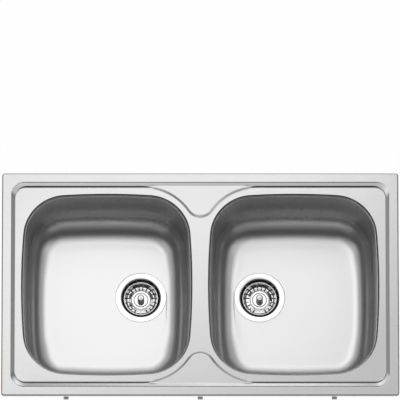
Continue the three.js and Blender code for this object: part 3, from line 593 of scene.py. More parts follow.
# painted shade: the knob is painted dark (0.20) below the top 2.2 mm of its head, which stays at
# 0.58
CHROME = satin_steel("chrome, knob sides painted in shade", "polished_steel", 0.58, 0.08, 420.0,
                     foot=(0.20, 0.08, 1.0, (KNOB_TOP - 2.2) * MM, (KNOB_TOP - 0.6) * MM))
POLISHED = satin_steel("polished steel", "polished_steel", 0.88, 0.10, 420.0)
ZINC = satin_steel("zinc plated steel", "zinc_steel", 0.62, 0.38, 500.0)
BRASS = satin_steel("turned brass", "brass", 0.62, 0.3, 500.0, cast=(1.0, 0.80, 0.48))
RUBBER = moulded("black rubber", "black_rubber", 0.022, 0.62, 700.0, 0.03)
FOAM = moulded("closed-cell foam", "foam", 0.06, 0.92, 1400.0, 0.12)
PLASTIC = moulded("white polypropylene", "white_plastic", (0.78, 0.78, 0.76), 0.42, 900.0, 0.01)
DAMPING = moulded("damping sheet", "damping_pad", 0.075, 0.85, 260.0, 0.15)


# ============ deck

def rows_of(rings):
    """Stacks rings of (x, y) with their heights into one list of points, row by row."""
    return np.concatenate([np.column_stack((ring, np.broadcast_to(height, len(ring))))
                           for ring, height in rings])


def slope_fall(t, side):
    """Share of the slope's drop at a share of its width, for each column: a small crisp edge
    first, then an even ramp. At the sink's two ends (side = 1) the ramp is even throughout."""
    front = 0.2 * smooth_step(np.clip(t / 0.18, 0, 1)) + 0.8 * t
    return front + (t - front) * side


def step_fall(t, wide, side):
    """Share of the step's drop at a share of its width, for each column. Along the front and back
    the drop is steep, starts at the slope's foot and ends in a fine pressed line a little below
    the land. Along a ledge (wide = 1) and at the sink's two ends (side = 1) it is an even ramp."""
    line, width, extra = 0.6875, 0.125, 0.12
    steep = (1 + extra) * np.clip(t / line, 0, 1) \
        - extra * smooth_step(np.clip((t - line) / width, 0, 1))
    even = np.clip((t - 0.02) / 0.96, 0, 1)
    steep = steep + (even - steep) * wide
    return steep + (t - steep) * side


def tuck(points):
    """How deep the sheet is drawn in at the pointed ends of the ledges: a small oval hollow at
    each, as deep as a bell curve of the distance from its middle."""
    away = (np.abs(points[:, :2]) - TUCK_AT) / TUCK_SIZE
    return TUCK_DEPTH * np.exp(-0.5 * (away ** 2).sum(axis=1))


def land_surface(foot, side):
    """The land on one side (-1 or 1) of the sink. It spans straight from the step's foot to its
    bowl's mouth, opposite points seen from the bowl's middle, and goes on over the mouth's
    chamfer down the collar."""
    middle = np.array((side * BOWL_X, 0.0))
    near = foot[foot[:, 0] * side >= -1e-6]
    angle = np.arctan2(near[:, 1], (near[:, 0] - middle[0]) * side)
    near = near[np.argsort(angle)]
    tip = np.abs(near[np.abs(near[:, 0]) < 1e-6, 1]).max()
    seam = np.linspace(tip, -tip, 42)[1:-1]
    loop = np.concatenate((near, np.column_stack((0 * seam, seam))))[::side]
    angle = np.arctan2(loop[:, 1], loop[:, 0] - middle[0])
    lip = bowl_ring(angle, -MOUTH_LIP) + middle
    rings = [(loop + (lip - loop) * t, LAND) for t in (0.0, 0.02, 0.3, 0.7, 0.98)]
    rings += [(bowl_ring(angle, inset) + middle, LAND - drop) for inset, drop in rounded(
        [[-MOUTH_LIP, 0], [0.0, 0.02], [COLLAR_INSET - 0.2, 3.9], [COLLAR_INSET, 5.4],
         [COLLAR_INSET, COLLAR_DEPTH]], 0.5, closed=False)]
    return rows_of(rings), grid_quads(len(rings), len(loop))


def deck_surface():
    """The pressed top's upper face. Rows run inwards from the lower lip of its edge: the edge
    and its round, the border, the slope, the level ledges (no width where there is no ledge) and
    the step. The two halves of the land follow."""
    rings = [(matching_ring(PLATE_HALF, PLATE_CORNER), z) for z in (EDGE_FOOT, 2.0)]
    for turn in np.linspace(0, math.pi / 2, 9):
        inset = EDGE_RADIUS * (1 - math.cos(turn))
        height = BORDER_HEIGHT - EDGE_RADIUS * (1 - math.sin(turn))
        rings.append((matching_ring(PLATE_HALF - inset, PLATE_CORNER - inset), height))
    border = rings[-1][0]
    slope_top = matching_ring(SLOPE_HALF, SLOPE_CORNER)
    slope_foot = matching_ring(STEP_HALF, STEP_CORNER + STEP_FRONT / 2)
    step_top = step_ring(0.5)
    for t in (0.01, 0.3, 0.7, 0.99, 1.0):
        rings.append((border + (slope_top - border) * t, BORDER_HEIGHT))
    straight = SLOPE_HALF - SLOPE_CORNER
    across = np.abs(slope_top - straight * np.sign(slope_top))
    corner = (np.abs(slope_top) > straight + 0.01).all(axis=1)
    side = np.where(corner, smooth_step(across[:, 0] / SLOPE_CORNER),
                    np.abs(slope_top[:, 0]) > SLOPE_HALF[0] - 1)
    foot_level = SLOPE_FOOT - SIDE_SINK * side
    for t in np.linspace(0, 1, 15)[1:]:
        height = BORDER_HEIGHT - (BORDER_HEIGHT - foot_level) * slope_fall(t, side)
        rings.append((slope_top + (slope_foot - slope_top) * t, height))
    for t in (0.03, 0.5, 0.97, 1.0):
        rings.append((slope_foot + (step_top - slope_foot) * t, foot_level))
    ledge_end, run_out = LEDGE_LEAD_X - 6, 26
    wide = smooth_step(np.clip((ledge_end - np.abs(step_top[:, 0])) / run_out, 0, 1)) \
        * (np.abs(step_top[:, 1]) > 100)
    for t in np.linspace(0, 1, 17)[1:]:
        rings.append((step_ring(0.5 - t),
                      foot_level - (foot_level - LAND) * step_fall(t, wide, side)))
    points = rows_of(rings)
    points[:, 2] -= tuck(points)
    return together((points, grid_quads(len(rings), len(step_top))),
                    *(land_surface(rings[-1][0], side) for side in (-1, 1)))


# ============ bowls

def bowl_surface(side):
    """A bowl's inner face on a grid of angle and depth: the dressed weld at its edge, the drafted
    wall, the curve to the floor, the floor that runs evenly from the curve's foot to the level
    ring round the waste, and the recess for the flange down to the hole."""
    angle = np.arange(BOWL_COLUMNS) * TAU / BOWL_COLUMNS
    middle = WASTE * (side, 1)
    ring = middle + circle(RECESS_RADIUS + RECESS_LEVEL, angle)
    end = np.where(np.sin(angle) > 0, BACK_RADIUS, FRONT_RADIUS)
    side_share, change = 0.35, 0.55
    curve = FLOOR_RADIUS + (end - FLOOR_RADIUS) * smooth_step(
        np.clip((np.abs(np.sin(angle)) - side_share) / change, 0, 1))
    rim_inset, rim_height = RIM_RADIUS + GAP + SHEET, LAND - LAP_DEPTH
    nominal = rim_inset + (rim_height - FLOOR - FLOOR_RADIUS) * math.tan(WALL_DRAFT) + curve
    span = np.hypot(*(bowl_ring(angle, nominal) + (side * BOWL_X, 0) - ring).T)
    fall = FLOOR_FALL * smooth_step(np.clip(span / FALL_REACH, 0, 1))
    centre_height = FLOOR + fall + curve
    touch_height = centre_height - curve * math.sin(WALL_DRAFT)
    touch_inset = rim_inset + (rim_height - touch_height) * math.tan(WALL_DRAFT)
    centre_inset = touch_inset + curve * math.cos(WALL_DRAFT)
    bead = rounded([
        [COLLAR_INSET + 0.04, rim_height - 1.2], [COLLAR_INSET + 0.04, rim_height + 0.5],
        [rim_inset + 0.7, rim_height + 0.1], [rim_inset + 0.75, rim_height - 0.9],
        [rim_inset + 0.1, rim_height - 2.0]], 0.5, closed=False, steps=4)
    rows = [(inset + 0 * angle, height + 0 * angle) for inset, height in bead]
    for t in np.linspace(0.03, 1, 10):
        rows.append((rim_inset + (touch_inset - rim_inset) * t,
                     rim_height + (touch_height - rim_height) * t))
    for turn in np.linspace(WALL_DRAFT, math.pi / 2, 27)[1:]:
        rows.append((centre_inset - curve * math.cos(turn),
                     centre_height - curve * math.sin(turn)))
    inset, z = np.array(rows).transpose(1, 0, 2)
    wall = np.concatenate((bowl_ring(angle[None, :], inset) + (side * BOWL_X, 0), z[..., None]),
                          axis=-1)

    foot = wall[-1, :, :2]
    t = np.linspace(0, 1, FLOOR_ROWS + 1)[1:, None]
    level = foot + (ring - foot) * t[..., None]
    fallen = FLOOR + fall * (1 - smooth_step(t))
    floor = np.concatenate((level, fallen[..., None]), axis=-1)

    turn = np.linspace(0, math.pi / 2, RECESS_ROWS - 3)
    low = FLOOR - RECESS_DEPTH
    down = np.concatenate((
        np.column_stack((RECESS_RADIUS + RECESS_EDGE * (1 - np.sin(turn)),
                         FLOOR - RECESS_EDGE * (1 - np.cos(turn)))),
        [(RECESS_RADIUS, low + 0.4), (RECESS_RADIUS - 0.4, low), (HOLE_RADIUS, low)]))
    recess = around_axis(down[:, :1], down[:, 1:], (*middle, 0), angle)
    return gridded(np.concatenate((wall, floor, recess)))


# ============ wastes and strainer baskets

def ends_rounded(start, end, radius, steps=5):
    """Distances along a slot with round ends, close together near the ends, and half the slot's
    width at each of them."""
    turn = np.linspace(0, math.pi / 2, steps)
    near = start + radius * (1 - np.cos(turn))
    middle = np.linspace(start + radius, end - radius, 6)[1:-1]
    rows = np.concatenate((near, middle, (start + end - near)[::-1]))
    half = np.concatenate((np.sin(turn), np.ones(len(middle)), np.sin(turn)[::-1])) * radius
    return rows, half


def cup_surface(centre):
    """The strainer cup's inner face, from the flange's edge over the rolled mouth and down the
    tapered wall to the hole for the screw. Six windows are left out of its bottom."""
    path = guarded(np.concatenate((
        [[FLANGE_RADIUS - 0.05, -0.95], [FLANGE_RADIUS - 0.05, -0.3]],
        rounded([[FLANGE_RADIUS - 0.1, -0.15], [FLANGE_RADIUS - 0.4, 0.0],
                 [CUP_MOUTH + 5.0, -0.05], [CUP_MOUTH + 0.6, -0.5], [CUP_MOUTH, -3.2],
                 [CUP_NECK, -CUP_WALL_DEPTH],
                 [CUP_FOOT, -CUP_DEPTH], [CUP_HOLE, -CUP_DEPTH]], 2.6, closed=False, steps=9),
    )))
    whole, corner = walk(path)[-1], 2.0
    inner, outer = whole - (WINDOW_INNER - CUP_HOLE), whole - (WINDOW_OUTER - CUP_HOLE)
    windows, half = ends_rounded(outer, inner, corner, 6)
    lead, tail = np.linspace(0, outer, 60)[:-1], np.linspace(inner, whole, 4)[1:]
    rows, inside = rows_with_hole(lead, windows, tail)
    half = np.concatenate((np.full(len(lead), corner), half, np.full(len(tail), corner)))
    spread = math.pi / 6 * WINDOW_SHARE - (corner - half) / along(path, rows)[:, 0]
    return pierced_ring(path, rows, 6, spread, inside, centre, across=9, ribs=8)


def basket_surface(centre):
    """The basket's inner face: a disc with a pressed ring groove, the slotted floor, the wall and
    the rim that is rolled outwards. The slots run out over the floor and a little up the wall."""
    groove = 15.2
    path = guarded(rounded([
        [STEM_RADIUS + GAP, DISC_TOP], [groove - 0.9, DISC_TOP], [groove, DISC_TOP - 0.7],
        [groove + 0.9, DISC_TOP], [DISC_RADIUS, DISC_TOP], [DISC_RADIUS + 1.0, BASKET_FLOOR + 0.8],
        [BASKET_FLOOR_RADIUS, BASKET_FLOOR - 1.0], [BASKET_WALL_TOP, BASKET_RIM_TOP - 1.6],
        [BASKET_WALL_TOP + 0.4, BASKET_RIM_TOP], [BASKET_RIM - 0.5, BASKET_RIM_TOP - 0.1],
        [BASKET_RIM, BASKET_RIM_TOP - 0.7],
    ], 1.2, closed=False, steps=6))
    walked = walk(path)
    fine = np.linspace(0, walked[-1], 2000)
    across, up = along(path, fine).T
    foot = fine[np.argmax(across >= DISC_RADIUS + 2.0)]
    top = fine[np.argmax((across > BASKET_FLOOR_RADIUS) & (up >= BASKET_FLOOR + 3.6))]
    slot, half = ends_rounded(foot, top, SLOT_HALF)
    lead = walked[walked < foot - 0.3]
    tail = np.unique(np.concatenate((walked[walked > top + 0.3], [walked[-1]])))
    rows, inside = rows_with_hole(lead, slot, tail)
    half = np.concatenate((np.full(len(lead), 0.3), half, np.full(len(tail), SLOT_HALF)))
    spread = np.arcsin(half / along(path, rows)[:, 0])
    return pierced_ring(path, rows, SLOTS, spread, inside, centre)


def knob_profile():
    """The turned knob: a foot ring, a waist with two fine grooves, and a crowned head."""
    low, high, r = DISC_TOP + GAP, DISC_TOP + KNOB_HEIGHT, KNOB_RADIUS
    bore, bore_top = STEM_RADIUS + GAP, DISC_TOP + KNOB_HEIGHT / 2 + GAP
    return rounded([
        [bore, low], [r, low], [r, low + 1.6], [r - 0.9, low + 2.6], [r - 0.9, low + 6.0],
        [r - 1.5, low + 6.5], [r - 0.9, low + 7.0], [r - 0.9, low + 9.4], [r - 1.5, low + 9.9],
        [r - 0.9, low + 10.4], [r - 0.9, high - 6.4], [r, high - 4.6], [r, high - 1.5],
        [r - 1.5, high - 0.25], [0.0, high], [0.0, bore_top], [bore, bore_top],
    ], 0.7)


def stem_profile():
    """The stem: a collar under the basket, and a chamfered foot with the spring ring's groove."""
    r, low, groove = STEM_RADIUS, STEM_FOOT, STEM_FOOT + 3
    under = DISC_TOP - BASKET_SHEET - GAP
    return rounded([
        [0, low], [r - 1, low], [r, low + 1.5], [r, groove], [r - 0.9, groove],
        [r - 0.9, groove + 2.5], [r, groove + 2.5], [r, under - 2.5], [r + 3, under - 2.5],
        [r + 3, under - 0.2], [r, under - 0.2], [r, DISC_TOP + KNOB_HEIGHT / 2],
        [0, DISC_TOP + KNOB_HEIGHT / 2],
    ], 0.3)


def basket_seal_profile():
    """The rubber lip: a bead that grips the basket's wall, and a lip that thins out to the cup."""
    top = BASKET_RIM_TOP - 2.0
    foot = top - 4.0
    wall = BASKET_WALL_TOP + BASKET_SHEET + 0.15
    return rounded([
        [wall, top], [wall - 1.1, foot], [wall + 1.4, foot], [wall + 2.2, foot + 1.2],
        [39.6, foot + 0.2], [39.9, foot + 0.5], [wall + 2.6, top - 0.8], [wall + 1.6, top],
    ], 0.7)


def clamp_screw_profile():
    """The hollow screw: a chamfered head and a threaded shank, bored for the basket's stem."""
    bore, head, shank = STEM_RADIUS + GAP, 8.5, SCREW_SHANK
    under = SCREW_HEAD_TOP - 7.0
    rows = [[shank, z] for z in np.linspace(under - 2, SCREW_FOOT + 1, 60)]
    return np.concatenate((
        rounded([[0, STEM_FOOT - 2], [bore, STEM_FOOT - 2], [bore, SCREW_HEAD_TOP],
                 [head - 1, SCREW_HEAD_TOP], [head, SCREW_HEAD_TOP - 1], [head, under],
                 [shank, under]], 0.4, closed=False)[:-1],
        rows, [[shank - 0.8, SCREW_FOOT], [0, SCREW_FOOT]],
    ))


def ring_profile(inner, outer, low, high, edge=0.5):
    return rounded([[inner, low], [outer, low], [outer, high], [inner, high]], edge)


def waste_shell_profile():
    """The moulded body's wall: chamber, funnel and the socket for the outlet pipe."""
    chamber, wall, socket = 44.5, BODY_WALL, PIPE_RADIUS + GAP
    rim = FLANGE_RADIUS + 1
    return rounded([
        [chamber, BODY_TOP], [chamber - 2.5, -BODY_DEPTH], [PIPE_BORE, FUNNEL_FOOT],
        [PIPE_BORE, SHOULDER], [socket, SHOULDER], [socket, SHOULDER - 8],
        [socket + wall, SHOULDER - 8], [socket + wall, SHOULDER],
        [chamber - 2.5 + wall, -BODY_DEPTH - 2], [chamber + wall, BODY_TOP - 4 - wall],
        [rim, BODY_TOP - 4], [rim, BODY_TOP],
    ], 1.4, steps=5)


def plates(outline, half, count, centre, edge=0.5):
    """Flat ribs spread round a vertical axis: an (across, up) outline, drawn in by an edge on
    both faces so that the rib has small chamfers."""
    outline = rounded(outline, 1.0, steps=3)
    middle = np.broadcast_to(outline.mean(axis=0), outline.shape)
    inwards = middle - outline
    drawn = outline + inwards * (edge / np.maximum(np.hypot(*inwards.T), edge))[:, None]
    layers = ((middle, -half), (drawn, -half), (outline, -half + edge),
              (outline, half - edge), (drawn, half), (middle, half))
    parts = []
    for turn in np.arange(count) * TAU / count:
        c, s = math.cos(turn), math.sin(turn)
        parts.append(gridded(np.array([np.column_stack((
            centre[0] + shape[:, 0] * c - y * s, centre[1] + shape[:, 0] * s + y * c,
            centre[2] + shape[:, 1])) for shape, y in layers])))
    return together(*parts)


def waste_body(centre):
    """The moulded body: its turned wall, the boss, three webs that carry it, and six ribs."""
    socket, wall, boss, boss_top = PIPE_RADIUS + GAP, BODY_WALL, 11.0, -33.3
    web = [[boss - 1, boss_top - 3], [43.0, boss_top - 3], [42.6, -BODY_DEPTH + 1],
           [PIPE_BORE + 1, FUNNEL_FOOT], [PIPE_BORE - 2, SHOULDER + 0.5],
           [boss - 1, SHOULDER - 8]]
    rib = [[45.6, BODY_TOP - 4], [FLANGE_RADIUS, BODY_TOP - 4], [48.1, -BODY_DEPTH],
           [socket + wall + 1, SHOULDER - 3], [socket + 1, SHOULDER - 3],
           [socket + 1, SHOULDER], [43.1, -BODY_DEPTH - 2]]
    boss_profile = rounded([
        [INSERT_BORE, boss_top], [boss, boss_top], [boss, BOSS_FOOT], [9.3, BOSS_FOOT],
        [9.3, BOSS_FOOT + 10.3], [INSERT_BORE, BOSS_FOOT + 10.3]], 0.5)
    return together(
        turned(waste_shell_profile(), centre, 120), turned(boss_profile, centre, 48),
        plates(web, wall / 2, 3, centre), plates(rib, wall / 2, 6, centre))


def outlet_pipe(centre):
    """The outlet pipe, with a round-crested thread for the coupling nut on its lower part."""
    low, high = PIPE_END + 1.0, -74.0
    profile = np.concatenate((
        rounded([[PIPE_RADIUS, high + 0.1], [PIPE_RADIUS, SHOULDER - GAP],
                 [PIPE_BORE, SHOULDER - GAP], [PIPE_BORE, PIPE_END],
                 [PIPE_RADIUS - 0.8, PIPE_END], [PIPE_RADIUS, low]], 0.6, closed=False),
        [[PIPE_RADIUS, z] for z in np.linspace(low + 0.1, high, 44)],
    ))
    return turned(profile, centre, 72, thread(low, high, pitch=3.2, depth=1.1,
                                              about=PIPE_RADIUS))


def coupling_nut(centre):
    """The coupling nut: a skirt whose outside swells into eight grips that fade out upwards."""
    bore, lip, skirt = PIPE_RADIUS + GAP, PIPE_BORE + 1.5, NUT_RADIUS - 1.8
    top = NUT_FOOT + NUT_HEIGHT
    outside = [[skirt, z] for z in np.linspace(NUT_FOOT + 1.2, top - 1.2, 18)]
    profile = np.concatenate((
        rounded([[skirt - 1.0, top], [bore, top], [bore, NUT_FOOT + 2.5], [lip, NUT_FOOT + 2.5],
                 [lip, NUT_FOOT], [skirt - 1.0, NUT_FOOT]], 0.5, closed=False), outside))

    def grips(radius, height, angle):
        turn = (angle * 8 / TAU) % 1 - 0.5
        across = smooth_step(np.clip((0.16 - np.abs(turn)) / 0.05, 0, 1))
        rise = np.clip((height - NUT_FOOT - 1.2) / 1.5, 0, 1) \
            * np.clip((top - 1.2 - height) / 3, 0, 1)
        return np.where(np.abs(radius - skirt) < 0.02, 1.75 * across * smooth_step(rise), 0)

    return turned(profile, centre, 192, grips)


def knurl(radius, height, angle):
    """Straight knurling on the outside of the brass insert."""
    return np.where(radius > 8.7, 0.18 * np.cos(angle * 36) - 0.18, 0)


def spring_ring(centre):
    """The split spring ring: a round wire section carried round the stem, but for its gap."""
    middle, height = STEM_RADIUS - 0.25, STEM_FOOT + 3 + 1.25
    around = np.linspace(0.22, TAU - 0.22, 49)
    section = np.linspace(0, TAU, 13)[:-1]
    thickness = np.concatenate(([0], np.full(47, 1.0), [0]))
    radius = middle + 0.4 * np.cos(section) * thickness[:, None]
    level = height + 1.05 * np.sin(section) * thickness[:, None]
    return gridded(around_axis(radius, level, centre, around[:, None]))


# ============ clips, strip and pads

def clip_places():
    """Where the clips go: x, y, turn and the height of the deck's underside there."""
    x, y = BOWL_X + BOWL_HALF[0] + 6, BOWL_HALF[1] + 7.5
    quarter, land, ledge = math.pi / 2, LAND - SHEET, SLOPE_FOOT - SHEET
    return [(-CLIP_SPACING, y, quarter, land), (0, y, quarter, ledge),
            (CLIP_SPACING, y, quarter, land), (x, 0, 0, land),
            (CLIP_SPACING, -y, -quarter, land), (0, -y, -quarter, ledge),
            (-CLIP_SPACING, -y, -quarter, land), (-x, 0, 2 * quarter, land)]


def holed_strip(path, hole_at, hole_radius, place, ends=0.0):
    """A bent strip with a round hole, at a position and turn. Five columns run along it: the
    edges, the middle, and two that draw apart round the hole. ends: how much shorter the strip
    is at each column, which cuts teeth into its end. The quads over the hole are left out."""
    half, side, tooth = CLIP_WIDTH / 2, CLIP_WIDTH / 4, 4.0
    walked = walk(path)
    turn = np.linspace(0, math.pi, 11)
    ring = hole_at - hole_radius * np.cos(turn)
    before, after = walked[walked < ring[0] - 0.2], walked[walked > ring[-1] + 0.2]
    rows, inside = rows_with_hole(before, ring, after)
    middle = np.full(len(rows), side)
    middle[len(before):len(before) + len(ring)] = hole_radius * np.sin(turn)
    edge = np.full(len(rows), half)
    sides = np.column_stack((-edge, -middle, 0 * middle, middle, edge))
    distance = np.repeat(rows[:, None], 5, axis=1)
    distance -= np.clip((distance - walked[-1] + tooth) / tooth, 0, 1) * ends
    x, y, lean = place
    c, s = math.cos(lean), math.sin(lean)
    u, z = np.moveaxis(along(path, distance), -1, 0)
    points = np.stack((x + u * c - sides * s, y + u * s + sides * c, z), axis=-1)
    quads = grid_quads(len(rows), 5, around=False).reshape(len(rows) - 1, 4, 4)
    kept = np.ones(quads.shape[:2], bool)
    kept[inside, 1:3] = False
    return points.reshape(-1, 3), quads[kept]


def bracket_surface(place, underside):
    """The hat-shaped bracket's upper face: two feet under the deck and a lowered bridge."""
    top, foot, web, floor = underside - GAP, 20.0, 11.0, BRACKET_LOW + BRACKET_SHEET
    path = rounded([[-foot, top], [-web, top], [-web, floor], [web, floor], [web, top],
                    [foot, top]], 1.8, closed=False, steps=6)
    x, y, turn = place
    return holed_strip(path, walk(path)[-1] / 2, CLIP_SCREW_RADIUS + GAP,
                       (x, y, turn + math.pi / 2))


def arm_surface(place):
    """The clamp arm's upper face: a turned-up heel, a flat run and a turned-up toe, whose end is
    cut into two teeth."""
    path = rounded([[-5.0, CLIP_ARM_TOP + 2.5], [-5.0, CLIP_ARM_TOP], [32.0, CLIP_ARM_TOP],
                    [32.0, CLIP_GRIP]], 1.6, closed=False, steps=6)
    start = 2.5 + 5.0 - 0.6
    return holed_strip(path, start, CLIP_SCREW_RADIUS + GAP, place, np.array((0, 0, 3.0, 0, 0)))


def clip_screw(place):
    """The clamping screw: a chamfered hexagon head with a washer face, and a threaded shank."""
    top = CLIP_ARM_TOP - CLIP_ARM_SHEET - GAP
    low, r, head, washer, flat = top - 5.0, CLIP_SCREW_RADIUS, 4.1, 3.9, 3.98
    rows = [[r, z] for z in np.linspace(top - 0.5, CLIP_SCREW_TOP - 0.8, 150)]
    profile = np.concatenate((
        [[0, low], [head - 0.7, low], [head, low + 0.5], [head, top - 0.5],
         [washer, top - 0.4], [washer, top], [r, top]],
        rows, [[r - 0.7, CLIP_SCREW_TOP], [0, CLIP_SCREW_TOP]]))
    turning = thread(top + 6, CLIP_SCREW_TOP, pitch=1.0, depth=0.42, about=r)

    def shape(radius, height, angle):
        hexagon = flat / np.cos((angle + math.pi / 6) % (math.pi / 3) - math.pi / 6)
        return np.where(np.abs(radius - head) < 0.02, hexagon - head, 0) \
            + turning(radius, height, angle)

    return turned(profile, (*place[:2], 0.0), 24, shape)


def rim_seal():
    """The foam strip: a section with a bulging inner side, carried round under the border."""
    outer, top = SHEET + GAP, BORDER_HEIGHT - SHEET - GAP
    chamfer = 0.7 * EDGE_RADIUS
    section = rounded([[outer, 0.0], [outer, top - chamfer], [outer + chamfer, top],
                       [outer + 7.5, top], [outer + 7.9, top / 2], [outer + 7.2, 0.0]], 0.9)
    section = np.concatenate((section, section[:1]))
    stations = np.linspace(PLATE_HALF[0] - 40, 0, 30)
    rings = [(whole_ring(quarter_ring(PLATE_HALF - by, max(PLATE_CORNER - by, 0.4), stations)), z)
             for by, z in section]
    return rows_of(rings), grid_quads(len(rings), len(rings[0][0]))


def floor_height(side, ring):
    """Height of a bowl's inner floor at (x, y) points, as the mean of the surface's nearest
    points, weighted by one over the fourth power of the distance."""
    grid = bowl_surface(side)[0].reshape(-1, BOWL_COLUMNS, 3)
    near = grid[-RECESS_ROWS - FLOOR_ROWS - 1:-RECESS_ROWS:2, ::4].reshape(-1, 3)
    away = (ring[:, :1] - near[:, 0]) ** 2 + (ring[:, 1:] - near[:, 1]) ** 2 + 4.0
    weight = away ** -2.0
    return (weight * near[:, 2]).sum(axis=1) / weight.sum(axis=1)


def pad_surface(side):
    """The sound-deadening pad: rings of a round-cornered rectangle. The lower face has a rounded
    edge and pressed-in channels along two crossing sets of lines, and the upper face follows the
    bowl's floor."""
    stations = np.linspace(PAD_HALF[0] - PAD_CORNER, 0, 12)
    unit = whole_ring(quarter_ring(PAD_HALF, PAD_CORNER, stations))
    low = FLOOR - SHEET - GAP - PAD_THICKNESS
    points = []
    for share, lift in ((0.0, 0.0), *((t, 0.0) for t in np.linspace(0.06, 0.96, 30)),
                        (0.985, 0.25), (1.0, 1.0)):
        ring = unit * share
        channel = np.maximum(*(np.clip(1 - np.abs((ring @ line) % 24 - 12) / 1.6, 0, 1)
                               for line in (np.array((0.7, 0.7)), np.array((0.7, -0.7)))))
        channel = channel * (0.08 < share < 0.93)
        points.append(np.column_stack((ring + (side * PAD_X, 0),
                                       low + lift + 0.7 * smooth_step(channel))))
    for share in (1.0, 0.98, 0.5, 0.0):
        ring = unit * share + (side * PAD_X, 0)
        points.append(np.column_stack((ring, floor_height(side, ring) - SHEET - 0.12)))
    return gridded(np.array(points))


# ============ pieces

def place_parts(name, parts):
    """Puts the parts of an assembly into the scene. Each has its shape, its finish and then,
    where they differ from the usual, its body, sharp angle, sheet thickness and bevel."""
    for ending, (shape, finish, *rest) in parts.items():
        piece(f"{name}_{ending}_form", f"{name}_{ending}", shape, finish, *rest)


def waste_parts(name, side):
    """The parts of one waste and of its strainer basket."""
    centre = (*(WASTE * (side, 1)), FLOOR)
    basket = f"{name}_strainer_basket"
    insert = ring_profile(INSERT_BORE, 9.0, BOSS_FOOT, BOSS_FOOT + 10, 0.4)
    screw_thread = thread(SCREW_FOOT, SCREW_HEAD_TOP - 8, pitch=1.8, depth=0.7,
                          about=SCREW_SHANK)
    washer = rounded([
        [PIPE_BORE + 0.5, PIPE_END - 0.3], [PIPE_BORE + 1.5, PIPE_END - 3.1],
        [PIPE_RADIUS - 0.8, PIPE_END - 3.1], [PIPE_RADIUS, PIPE_END - 0.3]], 0.5)
    return {
        "strainer_cup": (cup_surface(centre), POLISHED, "sink", 50, CUP_SHEET),
        "basket": (basket_surface(centre), POLISHED, basket, 50, BASKET_SHEET),
        "flange_seal": (turned(ring_profile(SEAL_INNER, SEAL_OUTER, -3.1, -1.5), centre), RUBBER),
        "under_seal": (turned(ring_profile(SEAL_INNER, SEAL_OUTER, -7.0, -4.5), centre), RUBBER),
        "waste_body": (waste_body(centre), PLASTIC),
        "outlet_pipe": (outlet_pipe(centre), PLASTIC),
        "thread_insert": (turned(insert, centre, 144, knurl), BRASS),
        "clamp_screw": (turned(clamp_screw_profile(), centre, 48, screw_thread), POLISHED),
        "coupling_nut": (coupling_nut(centre), PLASTIC),
        "outlet_washer": (turned(washer, centre), RUBBER),
        "basket_seal": (turned(basket_seal_profile(), centre, 120), RUBBER, basket, 60),
        "basket_stem": (turned(stem_profile(), centre, 40), POLISHED, basket),
        "basket_knob": (turned(knob_profile(), centre, 64), CHROME, basket, 60),
        "stem_spring_ring": (spring_ring(centre), ZINC, f"{name}_spring_ring"),
    }


def clip_parts(name, place, underside):
    """The bracket, the arm and the screw of one clip."""
    return {
        "bracket": (bracket_surface(place, underside), ZINC, "sink", 40, BRACKET_SHEET, 0.25),
        "arm": (arm_surface(place), ZINC, f"{name}_arm", 40, CLIP_ARM_SHEET, 0.25),
        "screw": (clip_screw(place), ZINC, f"{name}_screw"),
    }


def make_sink():
    """Puts all the pieces of the sink into the scene."""
    piece("deck_skin", "deck_panel", deck_surface(), DECK, sharp=50, wall=SHEET, merge=0.05)
    for name, side in SIDES:
        piece(f"{name}_bowl_shell", f"{name}_bowl", bowl_surface(side), BOWL, sharp=50,
              wall=SHEET)
    for name, side in SIDES:
        place_parts(name, waste_parts(name, side))
    for number, (x, y, turn, underside) in enumerate(clip_places(), 1):
        name = f"clip_{number}"
        place_parts(name, clip_parts(name, (x, y, turn), underside))
    piece("rim_seal_strip", "rim_seal", rim_seal(), FOAM, sharp=60)
    for name, side in SIDES:
        place_parts(name, {"sound_pad": (pad_surface(side), DAMPING, "sink", 50)})


# ============ stage, light and camera

FRAME_PIXELS = 400
PIXEL = 2.163
PLATE_PIXEL = (200.25, 284.0)
CAMERA_TILT = math.radians(16.0)
CAMERA_DISTANCE = 24000.0
SENSOR = 36.0


def make_camera():
    """A long lens nearly straight above. The plate's middle falls on its pixel, and a pixel is
    PIXEL millimetres there."""
    look = np.array((0, math.sin(CAMERA_TILT), -math.cos(CAMERA_TILT)))
    up = np.array((0, math.cos(CAMERA_TILT), math.sin(CAMERA_TILT)))
    right = np.array((1.0, 0, 0))
    aim = np.array((0, 0, BORDER_HEIGHT)) - right * (PLATE_PIXEL[0] - FRAME_PIXELS / 2) * PIXEL \
        + up * (PLATE_PIXEL[1] - FRAME_PIXELS / 2) * PIXEL
    data = bpy.data.cameras.new("camera")
    data.sensor_width = SENSOR
    data.lens = SENSOR * CAMERA_DISTANCE / (FRAME_PIXELS * PIXEL)
    data.clip_start, data.clip_end = 0.1, 60
    camera = add_object("camera", data)
    camera.location = (aim - look * CAMERA_DISTANCE) * MM
    camera.rotation_euler = (CAMERA_TILT, 0, 0)
    bpy.context.scene.camera = camera


